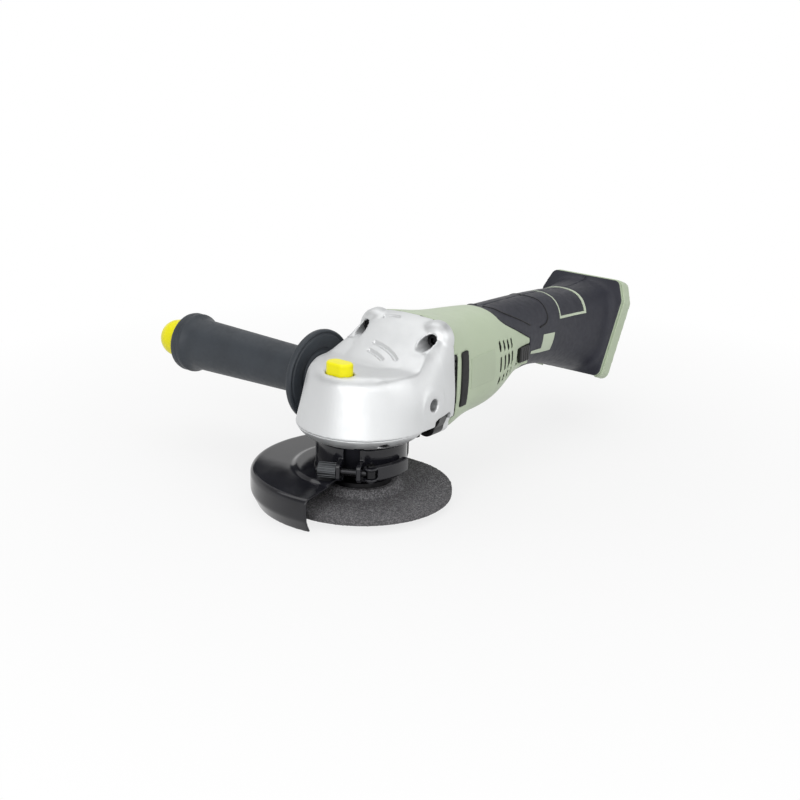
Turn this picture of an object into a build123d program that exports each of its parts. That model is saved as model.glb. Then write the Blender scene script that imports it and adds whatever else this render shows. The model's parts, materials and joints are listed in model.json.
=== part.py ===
from build123d import *
import math
import os

"""Cordless angle grinder with a 115 mm grinding wheel, battery pack removed.

Frame: the origin is on the spindle axis, at the outer face of the wheel's lock nut.
+X runs back along the motor axis to the battery foot, +Y points along the side handle
and +Z points up the spindle. Lengths are millimetres, angles are degrees.
"""

# Wheel and what clamps it
WHEEL_DIAMETER = 115.0
WHEEL_THICKNESS = 4.8
WHEEL_BORE = 22.23
WHEEL_HUB_RADIUS = 23.0
WHEEL_DEPRESSION = 4.6
WHEEL_SLOPE = 4.0
BUSHING_WALL = 1.0
NUT_RADIUS = 20.0
NUT_THICKNESS = 6.0
SPANNER_CIRCLE = 30.0
SPANNER_HOLE = 5.0
SPANNER_DEPTH = 4.0
THREAD_RADIUS = 7.0
FLANGE_RADIUS = 20.0
FLANGE_THICKNESS = 5.0
FLANGE_BOSS = 3.5

# Spindle, gear pair and spindle lock
MOTOR_Z = 68.0
SEAM_Z = 48.5
SHOULDER_RADIUS = 9.5
JOURNAL_RADIUS = 5.0
GEAR_TEETH = 38
PINION_TEETH = 11
GEAR_MODULE = 1.5
FACE_WIDTH = 6.0
TOOTH_LAND = 0.5
PROFILE_SHIFT = 0.35
BACKLASH = 0.30
PRESSURE_ANGLE = 20.0
GEAR_HUB_HEIGHT = 10.0
GEAR_BACK_GAP = 2.5
WEB_THICKNESS = 5.5
CLIP_HEIGHT = 1.2
LOCK_PIN_X = -19.0
LOCK_PIN_RADIUS = 2.0
LOCK_HOLES = 6
LOCK_TRAVEL = 6.0
LOCK_AIR = 3.5
BUTTON_X = -22.0
BUTTON_LENGTH = 18.0
BUTTON_WIDTH = 11.0
BUTTON_PROUD = 6.5
BUTTON_SKIRT = 3.0

# Ball bearings: bore radius, outside radius and width
SPINDLE_BEARING = (7.5, 17.5, 11.0)
FRONT_BEARING = (5.0, 13.0, 8.0)
REAR_BEARING = (3.5, 9.5, 6.0)

# Gear housing casting and bearing cover
NOSE_RADIUS = 41.0
NOSE_TOP_RADIUS = 32.5
NOSE_TOP_Z = 84.5
NOSE_ROUND = 9.0
ROOF_WALL = 5.5
GEAR_ROOM = 2.0
COVER_BACK_X = 31.0
COVER_LOW_Z = 40.0
COVER_LOW_RADIUS = 29.3
COVER_SCREW_CIRCLE = 35.5
CASTING_BACK_X = 47.0
CASTING_FORM = ((-47.0, -8.0, 37.0, 25.0, 3.0), (-31.0, -4.5, 41.0, 27.0, 3.0),
                (-15.0, 0.5, 39.2, 33.0, 3.4), (0.0, 2.5, 35.5, 37.5, 4.0))
HANDLE_X = 17.6
HANDLE_Z = 63.0
HANDLE_BOSS_Y = 42.6
HANDLE_BOSS_RADIUS = 11.0
HANDLE_THREAD_RADIUS = 4.0
HANDLE_THREAD_DEPTH = 14.0
SCREW_Y = 25.5
SCREW_UPPER_Z = 96.5
SCREW_UPPER_SEAT = 41.5
SCREW_LOWER_Z = 43.0
SCREW_LOWER_SEAT = 35.0
SCREW_TIP_X = 55.0
SCREW_HEAD_RADIUS = 4.2
SCREW_HEAD_HEIGHT = 4.5
SCREW_RADIUS = 2.5
SCREW_BOSS_RADIUS = 7.5
LOBE_Y = 23.5
LOBE_RADIUS = 11.5
LOBE_FRONT_X = 35.5
LOBE_ROUND = 6.5

# Guard, its collar and clamp
NECK_RADIUS = 26.0
NECK_BOTTOM_Z = 21.0
COLLAR_WALL = 2.4
COLLAR_TOP_Z = 38.6
GUARD_SHEET = 1.8
GUARD_ROOM = 9.7
GUARD_RADIUS = WHEEL_DIAMETER / 2 + GUARD_ROOM + GUARD_SHEET
GUARD_STEP_Z = 20.2
GUARD_PLATE_Z = 18.7
GUARD_BOTTOM_Z = -2.5
GUARD_CURL = 4.0
GUARD_START = 11.5
GUARD_SWEEP = 180.0
CLAMP_ANGLE = 207.0
CLAMP_Z = 26.5
CLAMP_ROOM = 7.2
CLAMP_REACH = NECK_RADIUS + CLAMP_ROOM
EAR_OFFSET = 6.4
EAR_SHEET = 2.8
EAR_HEIGHT = 11.0
CLAMP_SCREW_RADIUS = 2.4
ADJUSTER_RADIUS = 4.8
ADJUSTER_LENGTH = 11.0
LEVER_SWEEP = 50.0
LEVER_PIVOT_RADIUS = 4.2
LEVER_PIN_RADIUS = 1.5
LEVER_THICKNESS = 4.0
LEVER_HEIGHT = 8.5

# Motor housing and grip: distance behind the casting, height of the centre above the motor
# axis, half width, half height and squareness of each section
BODY_FORM = ((0.0, 2.5, 35.5, 37.5, 4.0), (15.0, 1.5, 35.0, 36.0, 3.2), (38.0, 0.5, 34.0, 34.0, 2.6),
             (63.0, 0.0, 32.0, 32.5, 2.3), (83.0, 2.0, 27.5, 28.5, 2.2), (105.0, 4.5, 24.5, 25.5, 2.2),
             (138.0, 3.0, 23.5, 25.5, 2.3), (165.0, -1.5, 24.0, 28.0, 2.4), (189.0, -6.5, 26.5, 31.0, 2.7))
BODY_WALL = 3.0
MOTOR_FORM = BODY_FORM[:7]
FAN_X = 4.0
FAN_RADIUS = 26.0
FAN_WIDTH = 9.0
FAN_BLADES = 9
STATOR_X = 20.0
STATOR_LENGTH = 30.0
STATOR_RADIUS = 27.0
STATOR_TEETH = 6
YOKE = 5.0
AIR_GAP = 0.6
ROTOR_RADIUS = 14.0
BOARD_X = 57.0
BOARD_THICKNESS = 1.6
HOLDER_RADIUS = 25.0
BAFFLE_RADIUS = 29.0
SADDLE_X = 71.0
TONGUE_X = 104.0
TONGUE_Z = 7.0
PAD_X = 8.0
PAD_WIDTH = 7.5
PAD_HEIGHT = 36.0
PAD_SEAT = 1.2
PAD_PROUD = 1.0
SLOT_DEPTH = 3.6
SLOT_HEIGHT = 41.0
VENT_X = 56.0
VENT_PITCH = 6.0
VENT_WIDTH = 2.6
VENT_COLUMNS = 4
VENT_DEPTH = 22.0
VENT_REACH = 16.0
VENT_ROWS = ((11.0, 7.0, -0.6), (-0.2, 10.5, 0.0), (-10.2, 5.7, 0.8))

# Slide switch
SWITCH_X = 91.5
SWITCH_LENGTH = 11.0
SWITCH_Z = -2.5
SWITCH_HEIGHT = 11.0
SWITCH_FLOOR_Y = -22.5
SWITCH_WALL = 4.0
SWITCH_TRAVEL = 6.0
SWITCH_STEM = 3.5
SWITCH_STEM_HEIGHT = 5.0
SWITCH_REACH = 6.0

# Battery foot, in the plane of its front face
FOOT_X = 203.5
FOOT_Z = -5.0
FOOT_TILT = 20.0
FOOT_TOP = 36.0
FOOT_TOP_HALF = 28.0
FOOT_WIDE = 22.0
FOOT_WIDE_HALF = 34.0
FOOT_LOW_HALF = 30.0
FOOT_CORNER = 5.0
FOOT_PLATE = 4.0
FOOT_DEPTH = 10.0
BAY_HALF_WIDTH = 21.0
BAY_TOP = 27.0
RAIL_LIP = 3.0
RAIL_WALL = 4.0
BAY_FLOOR = 3.0
FLARE_HALF_WIDTH = 27.5
FLARE_HALF_HEIGHT = 33.0
FLARE_SQUARENESS = 3.6

# Grip details: distances behind the casting, heights above the motor axis
GRIP_SCREWS = ((112.0, 21.0), (131.0, -12.0), (177.0, 19.0), (180.0, -26.0))
GRIP_PILLAR = 4.4
GRIP_SCREW_RADIUS = 1.5
GRIP_SCREW_DEPTH = 8.0
GRIP_HEAD_RADIUS = 2.8
GRIP_HEAD_SINK = 3.5
BAND_FRONT = 147.0
BAND_BACK = 178.0
BAND_LOW = 14.0
BAND_LEAN = 18.0
BAND_WIDTH = 1.6
INLAY_X = 130.5
INLAY_Z = 1.0
INLAY_TAIL = 22.0
INLAY_DEPTH = 1.2
CONTROLLER_X = 140.0
CONTROLLER_LENGTH = 31.0
CONTROLLER_HALF_WIDTH = 12.0
CONTROLLER_RIBS = (145.0, 162.0)
LEAD_RADIUS = 1.0

# Side handle
HANDLE_FLANGE_Y = 48.4
HANDLE_FLANGE_RADIUS = 29.3
HANDLE_FLANGE_THICKNESS = 4.5
GRIP_NEAR_RADIUS = 15.4
GRIP_FAR_RADIUS = 17.2
HANDLE_RING_RADIUS = 20.2
HANDLE_END_Y = 170.0
HANDLE_STUD_RADIUS = 6.0
HANDLE_STUD_DEPTH = 24.0
HANDLE_COLLAR_RADIUS = 9.0
CAP_RADIUS = 12.8
CAP_PROUD = 23.0
CAP_DOME = 12.5
CAP_FLAT = 2.0
CAP_SEAT = 6.0

OVAL_POINTS = 24
SIDE_POINTS = 14
SIDE_PAST = 20.0

# Clearances
RUNNING = 0.05
SLIDING = 0.15
FREE = 0.3


def box(x, y, z):
    """A block from three (low, high) pairs."""
    size = [high - low for low, high in (x, y, z)]
    centre = [(low + high) / 2 for low, high in (x, y, z)]
    return Pos(*centre) * Box(*size)


def rod_x(radius, low, high, y=0.0, z=MOTOR_Z):
    return Pos((low + high) / 2, y, z) * Rot(0, 90, 0) * Cylinder(radius, high - low)


def rod_y(radius, low, high, x=HANDLE_X, z=HANDLE_Z):
    return Pos(x, (low + high) / 2, z) * Rot(90, 0, 0) * Cylinder(radius, high - low)


def rod_z(radius, low, high, x=0.0, y=0.0):
    return Pos(x, y, (low + high) / 2) * Cylinder(radius, high - low)


def turned(profile, degrees=360.0, start=0.0):
    """Revolves (radius, height) points, or a face drawn in them, about the spindle axis."""
    face = profile if isinstance(profile, Sketch) else make_face(Polyline(*profile, close=True))
    return Rot(0, 0, start) * revolve(Plane.XZ * face, Axis.Z, degrees)


def turned_x(profile):
    """Revolves (x, radius) points about the motor axis."""
    face = make_face(Polyline(*profile, close=True))
    return Pos(0, 0, MOTOR_Z) * revolve(face, Axis.X, 360)


def turned_y(profile):
    """Revolves (radius, y) points, or a face drawn in them, about the side handle's axis."""
    face = profile if isinstance(profile, Sketch) else make_face(Polyline(*profile, close=True))
    return Pos(HANDLE_X, 0, HANDLE_Z) * revolve(face, Axis.Y, 360)


def rounded(profile, corners):
    """A face through the points, with the corners listed as (x, y, radius) rounded."""
    face = make_face(Polyline(*profile, close=True))
    for x, y, radius in corners:
        vertex = face.vertices().sort_by_distance((x, y, 0))[0]
        face = fillet(vertex, radius)
    return face


def superellipse(half_width, half_height, squareness):
    """A closed face: squareness 2 gives an ellipse, higher values are squarer."""
    points = []
    for step in range(OVAL_POINTS):
        angle = 2 * math.pi * (step + 0.5) / OVAL_POINTS
        across = math.copysign(abs(math.cos(angle)) ** (2 / squareness), math.cos(angle))
        up = math.copysign(abs(math.sin(angle)) ** (2 / squareness), math.sin(angle))
        points.append((half_width * across, half_height * up))
    return make_face(Spline(*points, periodic=True))


def oval(x, rise, half_width, half_height, squareness, inset=0.0):
    """A superellipse across the motor axis, drawn in by the inset."""
    plane = Plane((CASTING_BACK_X + x, 0, MOTOR_Z + rise), x_dir=(0, 1, 0), z_dir=(1, 0, 0))
    return plane * superellipse(half_width - inset, half_height - inset, squareness)


def form(sections, inset=0.0):
    """A smooth body through the listed ovals, drawn in by the inset."""
    return loft([oval(*section, inset=inset) for section in sections])


def ball_bearing(size, balls):
    """The outer ring, and the inner ring with its balls, centred on Z and rising from 0."""
    bore, outside, width = size
    third = (outside - bore) / 3
    middle = (bore + outside) / 2
    ball = 0.9 * third
    groove = Pos(0, 0, width / 2) * Torus(middle, ball / 2 + RUNNING + third / 10)
    outer = rod_z(outside, 0, width) - rod_z(outside - third, 0, width) - groove
    inner = rod_z(bore + third, 0, width) - rod_z(bore, 0, width)
    inner -= Pos(0, 0, width / 2) * Torus(middle, ball / 2)
    for spot in PolarLocations(middle, balls):
        inner += spot * (Pos(0, 0, width / 2) * Sphere(ball / 2 + third / 10))
    return outer, inner


# Heights along the spindle
HUB_LOW = NUT_THICKNESS
HUB_HIGH = HUB_LOW + WHEEL_THICKNESS
RIM_LOW = HUB_LOW - WHEEL_DEPRESSION
SHOULDER_Z = HUB_HIGH + FLANGE_THICKNESS
BEARING_HIGH = SEAM_Z - 0.5
BEARING_LOW = BEARING_HIGH - SPINDLE_BEARING[2]
GEAR_TOP = BEARING_HIGH + GEAR_HUB_HEIGHT
GEAR_BACK = SEAM_Z + GEAR_BACK_GAP
WEB_TOP = GEAR_BACK + WEB_THICKNESS
ROOF_Z = NOSE_TOP_Z - ROOF_WALL
BUTTON_LOW = NOSE_TOP_Z - BUTTON_SKIRT
WELL_FLOOR = BUTTON_LOW - LOCK_TRAVEL - 2 * FREE

# Places along the motor axis
PITCH_RADIUS = GEAR_MODULE * GEAR_TEETH / 2
PINION_RADIUS = GEAR_MODULE * PINION_TEETH / 2
CONE_LENGTH = math.hypot(PITCH_RADIUS, PINION_RADIUS)
PINION_BACK = PITCH_RADIUS + 6.0
PINION_FRONT = PITCH_RADIUS - FACE_WIDTH - 3.5
FRONT_BEARING_X = CASTING_BACK_X - 2.0 - FRONT_BEARING[2]
FAN_LOW = CASTING_BACK_X + FAN_X
STATOR_LOW = CASTING_BACK_X + STATOR_X
STATOR_HIGH = STATOR_LOW + STATOR_LENGTH
BOARD_LOW = CASTING_BACK_X + BOARD_X
HOLDER_LOW = BOARD_LOW + BOARD_THICKNESS
REAR_BEARING_X = HOLDER_LOW + 3.0
SHAFT_END = REAR_BEARING_X + REAR_BEARING[2]


def grinding_wheel():
    inner = WHEEL_BORE / 2 + BUSHING_WALL
    outer = WHEEL_DIAMETER / 2
    slope_end = WHEEL_HUB_RADIUS + WHEEL_SLOPE
    return turned([(inner, HUB_LOW), (WHEEL_HUB_RADIUS, HUB_LOW), (slope_end, RIM_LOW), (outer, RIM_LOW),
                   (outer, RIM_LOW + WHEEL_THICKNESS), (slope_end, RIM_LOW + WHEEL_THICKNESS),
                   (WHEEL_HUB_RADIUS, HUB_HIGH), (inner, HUB_HIGH)])


def wheel_bushing():
    bore = WHEEL_BORE / 2
    return rod_z(bore + BUSHING_WALL, HUB_LOW, HUB_HIGH) - rod_z(bore, HUB_LOW, HUB_HIGH)


def inner_flange():
    boss = WHEEL_BORE / 2 - RUNNING
    relief = FLANGE_RADIUS - 5.0
    body = turned([(THREAD_RADIUS, HUB_HIGH - FLANGE_BOSS), (boss, HUB_HIGH - FLANGE_BOSS),
                   (boss, HUB_HIGH + 0.6), (relief, HUB_HIGH + 0.6), (relief, HUB_HIGH),
                   (FLANGE_RADIUS, HUB_HIGH), (FLANGE_RADIUS, SHOULDER_Z - 2.0), (relief, SHOULDER_Z),
                   (THREAD_RADIUS, SHOULDER_Z)])
    for side in (-1, 1):
        flat = side * (SHOULDER_RADIUS - 1.0)
        body -= box(sorted((flat, side * 30.0)), (-30, 30), (SHOULDER_Z - 0.8, SHOULDER_Z + 1))
    return body


def lock_nut():
    collar = THREAD_RADIUS + 6.0
    body = turned([(THREAD_RADIUS, 0), (NUT_RADIUS - 1.2, 0), (NUT_RADIUS, 1.2), (NUT_RADIUS, HUB_LOW),
                   (NUT_RADIUS - 5.0, HUB_LOW), (NUT_RADIUS - 5.0, HUB_LOW - 0.6), (collar, HUB_LOW - 0.6),
                   (collar, HUB_LOW - 1.4), (THREAD_RADIUS, HUB_LOW - 1.4)])
    for spot in PolarLocations(SPANNER_CIRCLE / 2, 2):
        body -= spot * rod_z(SPANNER_HOLE / 2, 0, SPANNER_DEPTH)
    return body


def key_block():
    return box((THREAD_RADIUS - 2.0, THREAD_RADIUS + 2.0), (-1.5, 1.5), (BEARING_HIGH + 2.0, GEAR_TOP - 1.0))


def spindle():
    neck = THREAD_RADIUS - 1.0
    top = ROOF_Z - 1.0
    body = turned([(0, 1.0), (THREAD_RADIUS - 0.8, 1.0), (THREAD_RADIUS, 1.8), (THREAD_RADIUS, SHOULDER_Z),
                   (SHOULDER_RADIUS, SHOULDER_Z), (SHOULDER_RADIUS, BEARING_LOW),
                   (SPINDLE_BEARING[0], BEARING_LOW), (SPINDLE_BEARING[0], BEARING_HIGH),
                   (THREAD_RADIUS, BEARING_HIGH), (THREAD_RADIUS, GEAR_TOP), (neck, GEAR_TOP),
                   (neck, GEAR_TOP + 6.0), (JOURNAL_RADIUS, GEAR_TOP + 6.0), (JOURNAL_RADIUS, top - 1.0),
                   (JOURNAL_RADIUS - 1.0, top), (0, top)])
    return body - key_block()


def gear_clip():
    neck = THREAD_RADIUS - 1.0
    ring = rod_z(neck + 3.0, GEAR_TOP, GEAR_TOP + CLIP_HEIGHT) - rod_z(neck, GEAR_TOP, GEAR_TOP + CLIP_HEIGHT)
    return ring - box((0, 20), (-2.5, 2.5), (GEAR_TOP, GEAR_TOP + CLIP_HEIGHT))


def bevel_teeth(teeth, mates, shift, first, place):
    """Straight bevel teeth with involute flanks on the back cone, set round +Z below an apex at 0.

    The tooth is drawn across the pitch cone's line at the heel, and runs to the same shape,
    scaled about the apex, at the toe.
    """
    pitch_angle = math.atan2(teeth, mates)
    sine, cosine = math.sin(pitch_angle), math.cos(pitch_angle)
    radius = GEAR_MODULE * teeth / 2
    virtual = radius / cosine
    pressure = math.radians(PRESSURE_ANGLE)
    base = virtual * math.cos(pressure)
    thick = GEAR_MODULE * (math.pi / 2 + 2 * shift * math.tan(pressure)) - BACKLASH / 2
    low = virtual - GEAR_MODULE * (1.2 - shift) - 0.4
    high = virtual + GEAR_MODULE * (0.95 + shift)
    flank = []
    for step in range(6):
        reach = low + (high - low) * step / 5
        tilt = math.acos(min(1.0, base / reach))
        turn = thick / (2 * virtual) + math.tan(pressure) - pressure - math.tan(tilt) + tilt
        flank.append((reach * math.sin(turn), reach * math.cos(turn) - virtual))
    outline = flank + [(-across, up) for across, up in reversed(flank)]
    heel, toe = [], []
    shrink = (CONE_LENGTH - FACE_WIDTH) / CONE_LENGTH
    for across, up in outline:
        point = Vector(radius + up * cosine, across, -CONE_LENGTH * cosine + up * sine)
        heel.append(point)
        toe.append(point * shrink)
    tooth = loft([make_face(Polyline(*heel, close=True)), make_face(Polyline(*toe, close=True))], ruled=True)
    return [place * Rot(0, 0, first + 360 * number / teeth) * tooth for number in range(teeth)]


def root_points(teeth, mates, shift):
    """Where the root cone ends, past the heel and past the toe, as (radius, depth below the apex)."""
    pitch_angle = math.atan2(teeth, mates)
    depth = GEAR_MODULE * (1.2 - shift)
    radius = GEAR_MODULE * teeth / 2 - depth * math.cos(pitch_angle)
    below = CONE_LENGTH * math.cos(pitch_angle) + depth * math.sin(pitch_angle)
    grow = (CONE_LENGTH + TOOTH_LAND) / CONE_LENGTH
    shrink = (CONE_LENGTH - FACE_WIDTH - TOOTH_LAND) / CONE_LENGTH
    return (radius * grow, below * grow), (radius * shrink, below * shrink)


def bevel_gear():
    heel, toe = root_points(GEAR_TEETH, PINION_TEETH, -PROFILE_SHIFT)
    hub = THREAD_RADIUS + 5.0
    race = SPINDLE_BEARING[0] + 2.5
    blank = turned([(THREAD_RADIUS, BEARING_HIGH), (race, BEARING_HIGH), (race, GEAR_BACK),
                    (heel[0], GEAR_BACK), (heel[0], MOTOR_Z - heel[1]), (toe[0], MOTOR_Z - toe[1]),
                    (toe[0], WEB_TOP), (hub, WEB_TOP), (hub, GEAR_TOP), (THREAD_RADIUS, GEAR_TOP)])
    teeth = bevel_teeth(GEAR_TEETH, PINION_TEETH, -PROFILE_SHIFT, 0.0, Pos(0, 0, MOTOR_Z))
    body = blank.fuse(*teeth)
    for number in range(LOCK_HOLES):
        hole = rod_z(LOCK_PIN_RADIUS + 2 * SLIDING, GEAR_BACK, WEB_TOP, x=LOCK_PIN_X)
        body -= Rot(0, 0, 360 * number / LOCK_HOLES) * hole
    return body - key_block()


def pinion():
    heel, toe = root_points(PINION_TEETH, GEAR_TEETH, PROFILE_SHIFT)
    bore = REAR_BEARING[0]
    blank = turned_x([(toe[1], bore), (toe[1], toe[0]), (heel[1], heel[0]), (PINION_BACK, heel[0]),
                      (PINION_BACK, bore)])
    place = Pos(0, 0, MOTOR_Z) * Rot(0, -90, 0)
    gap_down = 180.0 + 180.0 / PINION_TEETH
    return blank.fuse(*bevel_teeth(PINION_TEETH, GEAR_TEETH, PROFILE_SHIFT, gap_down, place))


def obround(length, width, low, high, x):
    """An upright block with round ends, long across the tool."""
    outline = SlotOverall(length, width)
    return Pos(x, 0, low) * Rot(0, 0, 90) * extrude(outline, high - low)


def screw_spots():
    """Seats of the four screws that join the casting to the motor housing, as (x, y, z)."""
    pairs = ((SCREW_UPPER_SEAT, SCREW_UPPER_Z), (SCREW_LOWER_SEAT, SCREW_LOWER_Z))
    return [(seat, side * SCREW_Y, height) for side in (-1, 1) for seat, height in pairs]


def screw_lobe(side):
    """The rounded ear that an upper screw goes into."""
    corner = (LOBE_FRONT_X, LOBE_RADIUS)
    outline = rounded([(LOBE_FRONT_X, 0), corner, (CASTING_BACK_X, LOBE_RADIUS), (CASTING_BACK_X, 0)],
                      [(*corner, LOBE_ROUND)])
    return Pos(0, side * LOBE_Y, SCREW_UPPER_Z) * revolve(Plane.XZ * outline, Axis.X)


def cover_screw_spots():
    """Centres of the four screws that hold the bearing cover from below."""
    angles = [math.radians(angle) for angle in (75, 120, 240, 285)]
    return [(COVER_SCREW_CIRCLE * math.cos(angle), COVER_SCREW_CIRCLE * math.sin(angle)) for angle in angles]


def gear_room():
    """The space inside the casting for the gear, the pinion and the front bearing."""
    wide = PITCH_RADIUS + GEAR_ROOM
    room = turned([(0, SEAM_Z), (wide, SEAM_Z), (wide, MOTOR_Z - 2.0), (wide - 4.5, ROOF_Z), (0, ROOF_Z)])
    room += rod_x(FRONT_BEARING[1] - 1.4, 0, FRONT_BEARING_X)
    room -= rod_z(JOURNAL_RADIUS + 6.0, MOTOR_Z, ROOF_Z)
    room -= obround(BUTTON_LENGTH + 5.0, BUTTON_WIDTH + 5.0, WELL_FLOOR - 5.0, ROOF_Z, BUTTON_X)
    return room


def gear_housing():
    nose = rounded([(0, SEAM_Z), (NOSE_RADIUS, SEAM_Z), (NOSE_TOP_RADIUS, NOSE_TOP_Z), (0, NOSE_TOP_Z)],
                   [(NOSE_TOP_RADIUS, NOSE_TOP_Z, NOSE_ROUND)])
    bosses = [rod_y(HANDLE_BOSS_RADIUS, -HANDLE_BOSS_Y, HANDLE_BOSS_Y)]
    well = (BUTTON_LENGTH + 2 * SLIDING, BUTTON_WIDTH + 2 * SLIDING, WELL_FLOOR, NOSE_TOP_Z + 5, BUTTON_X)
    cuts = [box((-60, COVER_BACK_X), (-60, 60), (0, SEAM_Z)), gear_room(), obround(*well),
            rod_x(FRONT_BEARING[1], FRONT_BEARING_X, CASTING_BACK_X),
            rod_z(JOURNAL_RADIUS + 3.0, MOTOR_Z, ROOF_Z),
            rod_z(LOCK_PIN_RADIUS + RUNNING, ROOF_Z - 20, ROOF_Z, x=LOCK_PIN_X)]
    for side in (-1, 1):
        mouth = side * HANDLE_BOSS_Y
        depth = side * (HANDLE_BOSS_Y - HANDLE_THREAD_DEPTH)
        cuts.append(rod_y(HANDLE_THREAD_RADIUS, *sorted((mouth, depth))))
        bosses.append(screw_lobe(side))
    for seat, y, z in screw_spots():
        if z < MOTOR_Z:
            bosses.append(rod_x(SCREW_BOSS_RADIUS, seat - 6.0, CASTING_BACK_X, y, z))
        cuts.append(rod_x(SCREW_HEAD_RADIUS + FREE, seat - 40, seat, y, z))
        cuts.append(rod_x(SCREW_RADIUS, seat, CASTING_BACK_X, y, z))
    for x, y in cover_screw_spots():
        cuts.append(rod_z(2.0, SEAM_Z, SEAM_Z + 9.0, x, y))
    return form(CASTING_FORM) + [turned(nose)] + bosses - cuts


def bearing_cover():
    bore = SHOULDER_RADIUS + 1.5
    bulge = ThreePointArc((COVER_LOW_RADIUS, COVER_LOW_Z), (37.2, 43.4), (NOSE_RADIUS, SEAM_Z))
    rest = Polyline((NOSE_RADIUS, SEAM_Z), (SPINDLE_BEARING[1], SEAM_Z), (SPINDLE_BEARING[1], BEARING_LOW),
                    (bore, BEARING_LOW), (bore, NECK_BOTTOM_Z), (NECK_RADIUS, NECK_BOTTOM_Z),
                    (NECK_RADIUS, COVER_LOW_Z), (COVER_LOW_RADIUS, COVER_LOW_Z))
    body = turned(make_face(bulge + rest))
    body -= box((COVER_BACK_X, 60), (-60, 60), (0, SEAM_Z))
    body -= rod_z(bore + 4.0, NECK_BOTTOM_Z, NECK_BOTTOM_Z + 3.0)
    for _, y, z in screw_spots():
        body -= rod_x(SCREW_HEAD_RADIUS + FREE, COVER_BACK_X - 9.0, COVER_BACK_X, y, z)
    for x, y in cover_screw_spots():
        body -= rod_z(3.6, COVER_LOW_Z, SEAM_Z - 2.5, x, y)
        body -= rod_z(2.0, COVER_LOW_Z, SEAM_Z, x, y)
    notch = box((NECK_RADIUS + 1, NOSE_RADIUS), (-3, 3), (COVER_LOW_Z, COVER_LOW_Z + 2.2))
    return body - Rot(0, 0, CLAMP_ANGLE + 10) * notch


def dust_seal():
    bore = SHOULDER_RADIUS + 1.5
    low, high = NECK_BOTTOM_Z, NECK_BOTTOM_Z + 3.0
    return rod_z(bore + 4.0, low, high) - rod_z(SHOULDER_RADIUS + SLIDING, low, high)


def cover_screws():
    solids = []
    for x, y in cover_screw_spots():
        seat = SEAM_Z - 2.5
        head = rod_z(3.3, seat - 2.2, seat, x, y) - rod_z(1.5, seat - 2.2, seat - 0.8, x, y)
        solids.append(head + rod_z(2.0, seat, SEAM_Z + 9.0, x, y))
    return Compound(solids)


def housing_screws():
    solids = []
    for seat, y, z in screw_spots():
        head_front = seat - SCREW_HEAD_HEIGHT
        body = rod_x(SCREW_HEAD_RADIUS, head_front, seat, y, z)
        socket = Pos(head_front, y, z) * Rot(0, 90, 0) * extrude(RegularPolygon(2.3, 6), 2.5)
        solids.append(body - socket + rod_x(SCREW_RADIUS, seat, SCREW_TIP_X, y, z))
    return Compound(solids)


def spindle_bush():
    low, high = MOTOR_Z, ROOF_Z - 0.6
    return rod_z(JOURNAL_RADIUS + 3.0, low, high) - rod_z(JOURNAL_RADIUS + RUNNING, low, high)


def lock_button():
    top = NOSE_TOP_Z + BUTTON_PROUD
    body = obround(BUTTON_LENGTH, BUTTON_WIDTH, BUTTON_LOW, top, BUTTON_X)
    body = fillet(body.edges().group_by(Axis.Z)[-1], 1.6)
    for side in (-1, 1):
        body -= rod_z(2.6, BUTTON_LOW, BUTTON_LOW + 2.0, BUTTON_X - 1.5, side * 4.6)
    return body - rod_z(LOCK_PIN_RADIUS, BUTTON_LOW, BUTTON_LOW + 4.0, x=LOCK_PIN_X)


def lock_pin():
    tip = WEB_TOP + LOCK_AIR
    body = rod_z(LOCK_PIN_RADIUS, tip, BUTTON_LOW + 4.0, x=LOCK_PIN_X)
    return chamfer(body.edges().group_by(Axis.Z)[0], 0.6)


def lock_springs():
    wire, coil = 0.3, 2.0
    low, high = WELL_FLOOR + wire, BUTTON_LOW + 2.0 - wire
    path = Helix(pitch=(high - low) / 6, height=high - low, radius=coil)
    start = path ^ 0
    spring = sweep(Plane(start.position, z_dir=path % 0) * Circle(wire), path, is_frenet=True)
    return Compound([Pos(BUTTON_X - 1.5, side * 4.6, low) * spring for side in (-1, 1)])


def guard_shell():
    inner = NECK_RADIUS + SLIDING + COLLAR_WALL
    sheet = GUARD_SHEET
    lip = GUARD_RADIUS - GUARD_CURL
    step = inner + 12.0
    ease = step + 3.0
    knee = GUARD_BOTTOM_Z + 8.0
    outline = [(inner, GUARD_STEP_Z), (step, GUARD_STEP_Z), (ease, GUARD_PLATE_Z),
               (GUARD_RADIUS, GUARD_PLATE_Z), (GUARD_RADIUS, knee), (lip, GUARD_BOTTOM_Z),
               (lip - sheet, GUARD_BOTTOM_Z), (GUARD_RADIUS - sheet, knee - 0.4),
               (GUARD_RADIUS - sheet, GUARD_PLATE_Z - sheet),
               (ease - 0.4, GUARD_PLATE_Z - sheet), (step - 0.4, GUARD_STEP_Z - sheet),
               (inner, GUARD_STEP_Z - sheet)]
    face = rounded(outline, [(GUARD_RADIUS, GUARD_PLATE_Z, 3.5),
                             (GUARD_RADIUS - sheet, GUARD_PLATE_Z - sheet, 1.7),
                             (GUARD_RADIUS, knee, 5.0), (GUARD_RADIUS - sheet, knee - 0.4, 4.0)])
    return turned(face, GUARD_SWEEP, GUARD_START)


def clamp_rod(radius, low, high):
    """A rod along the clamp's tie screw, placed by its distance past the split."""
    rod = Pos(CLAMP_REACH, (low + high) / 2, CLAMP_Z) * Rot(90, 0, 0) * Cylinder(radius, high - low)
    return Rot(0, 0, CLAMP_ANGLE) * rod


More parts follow.
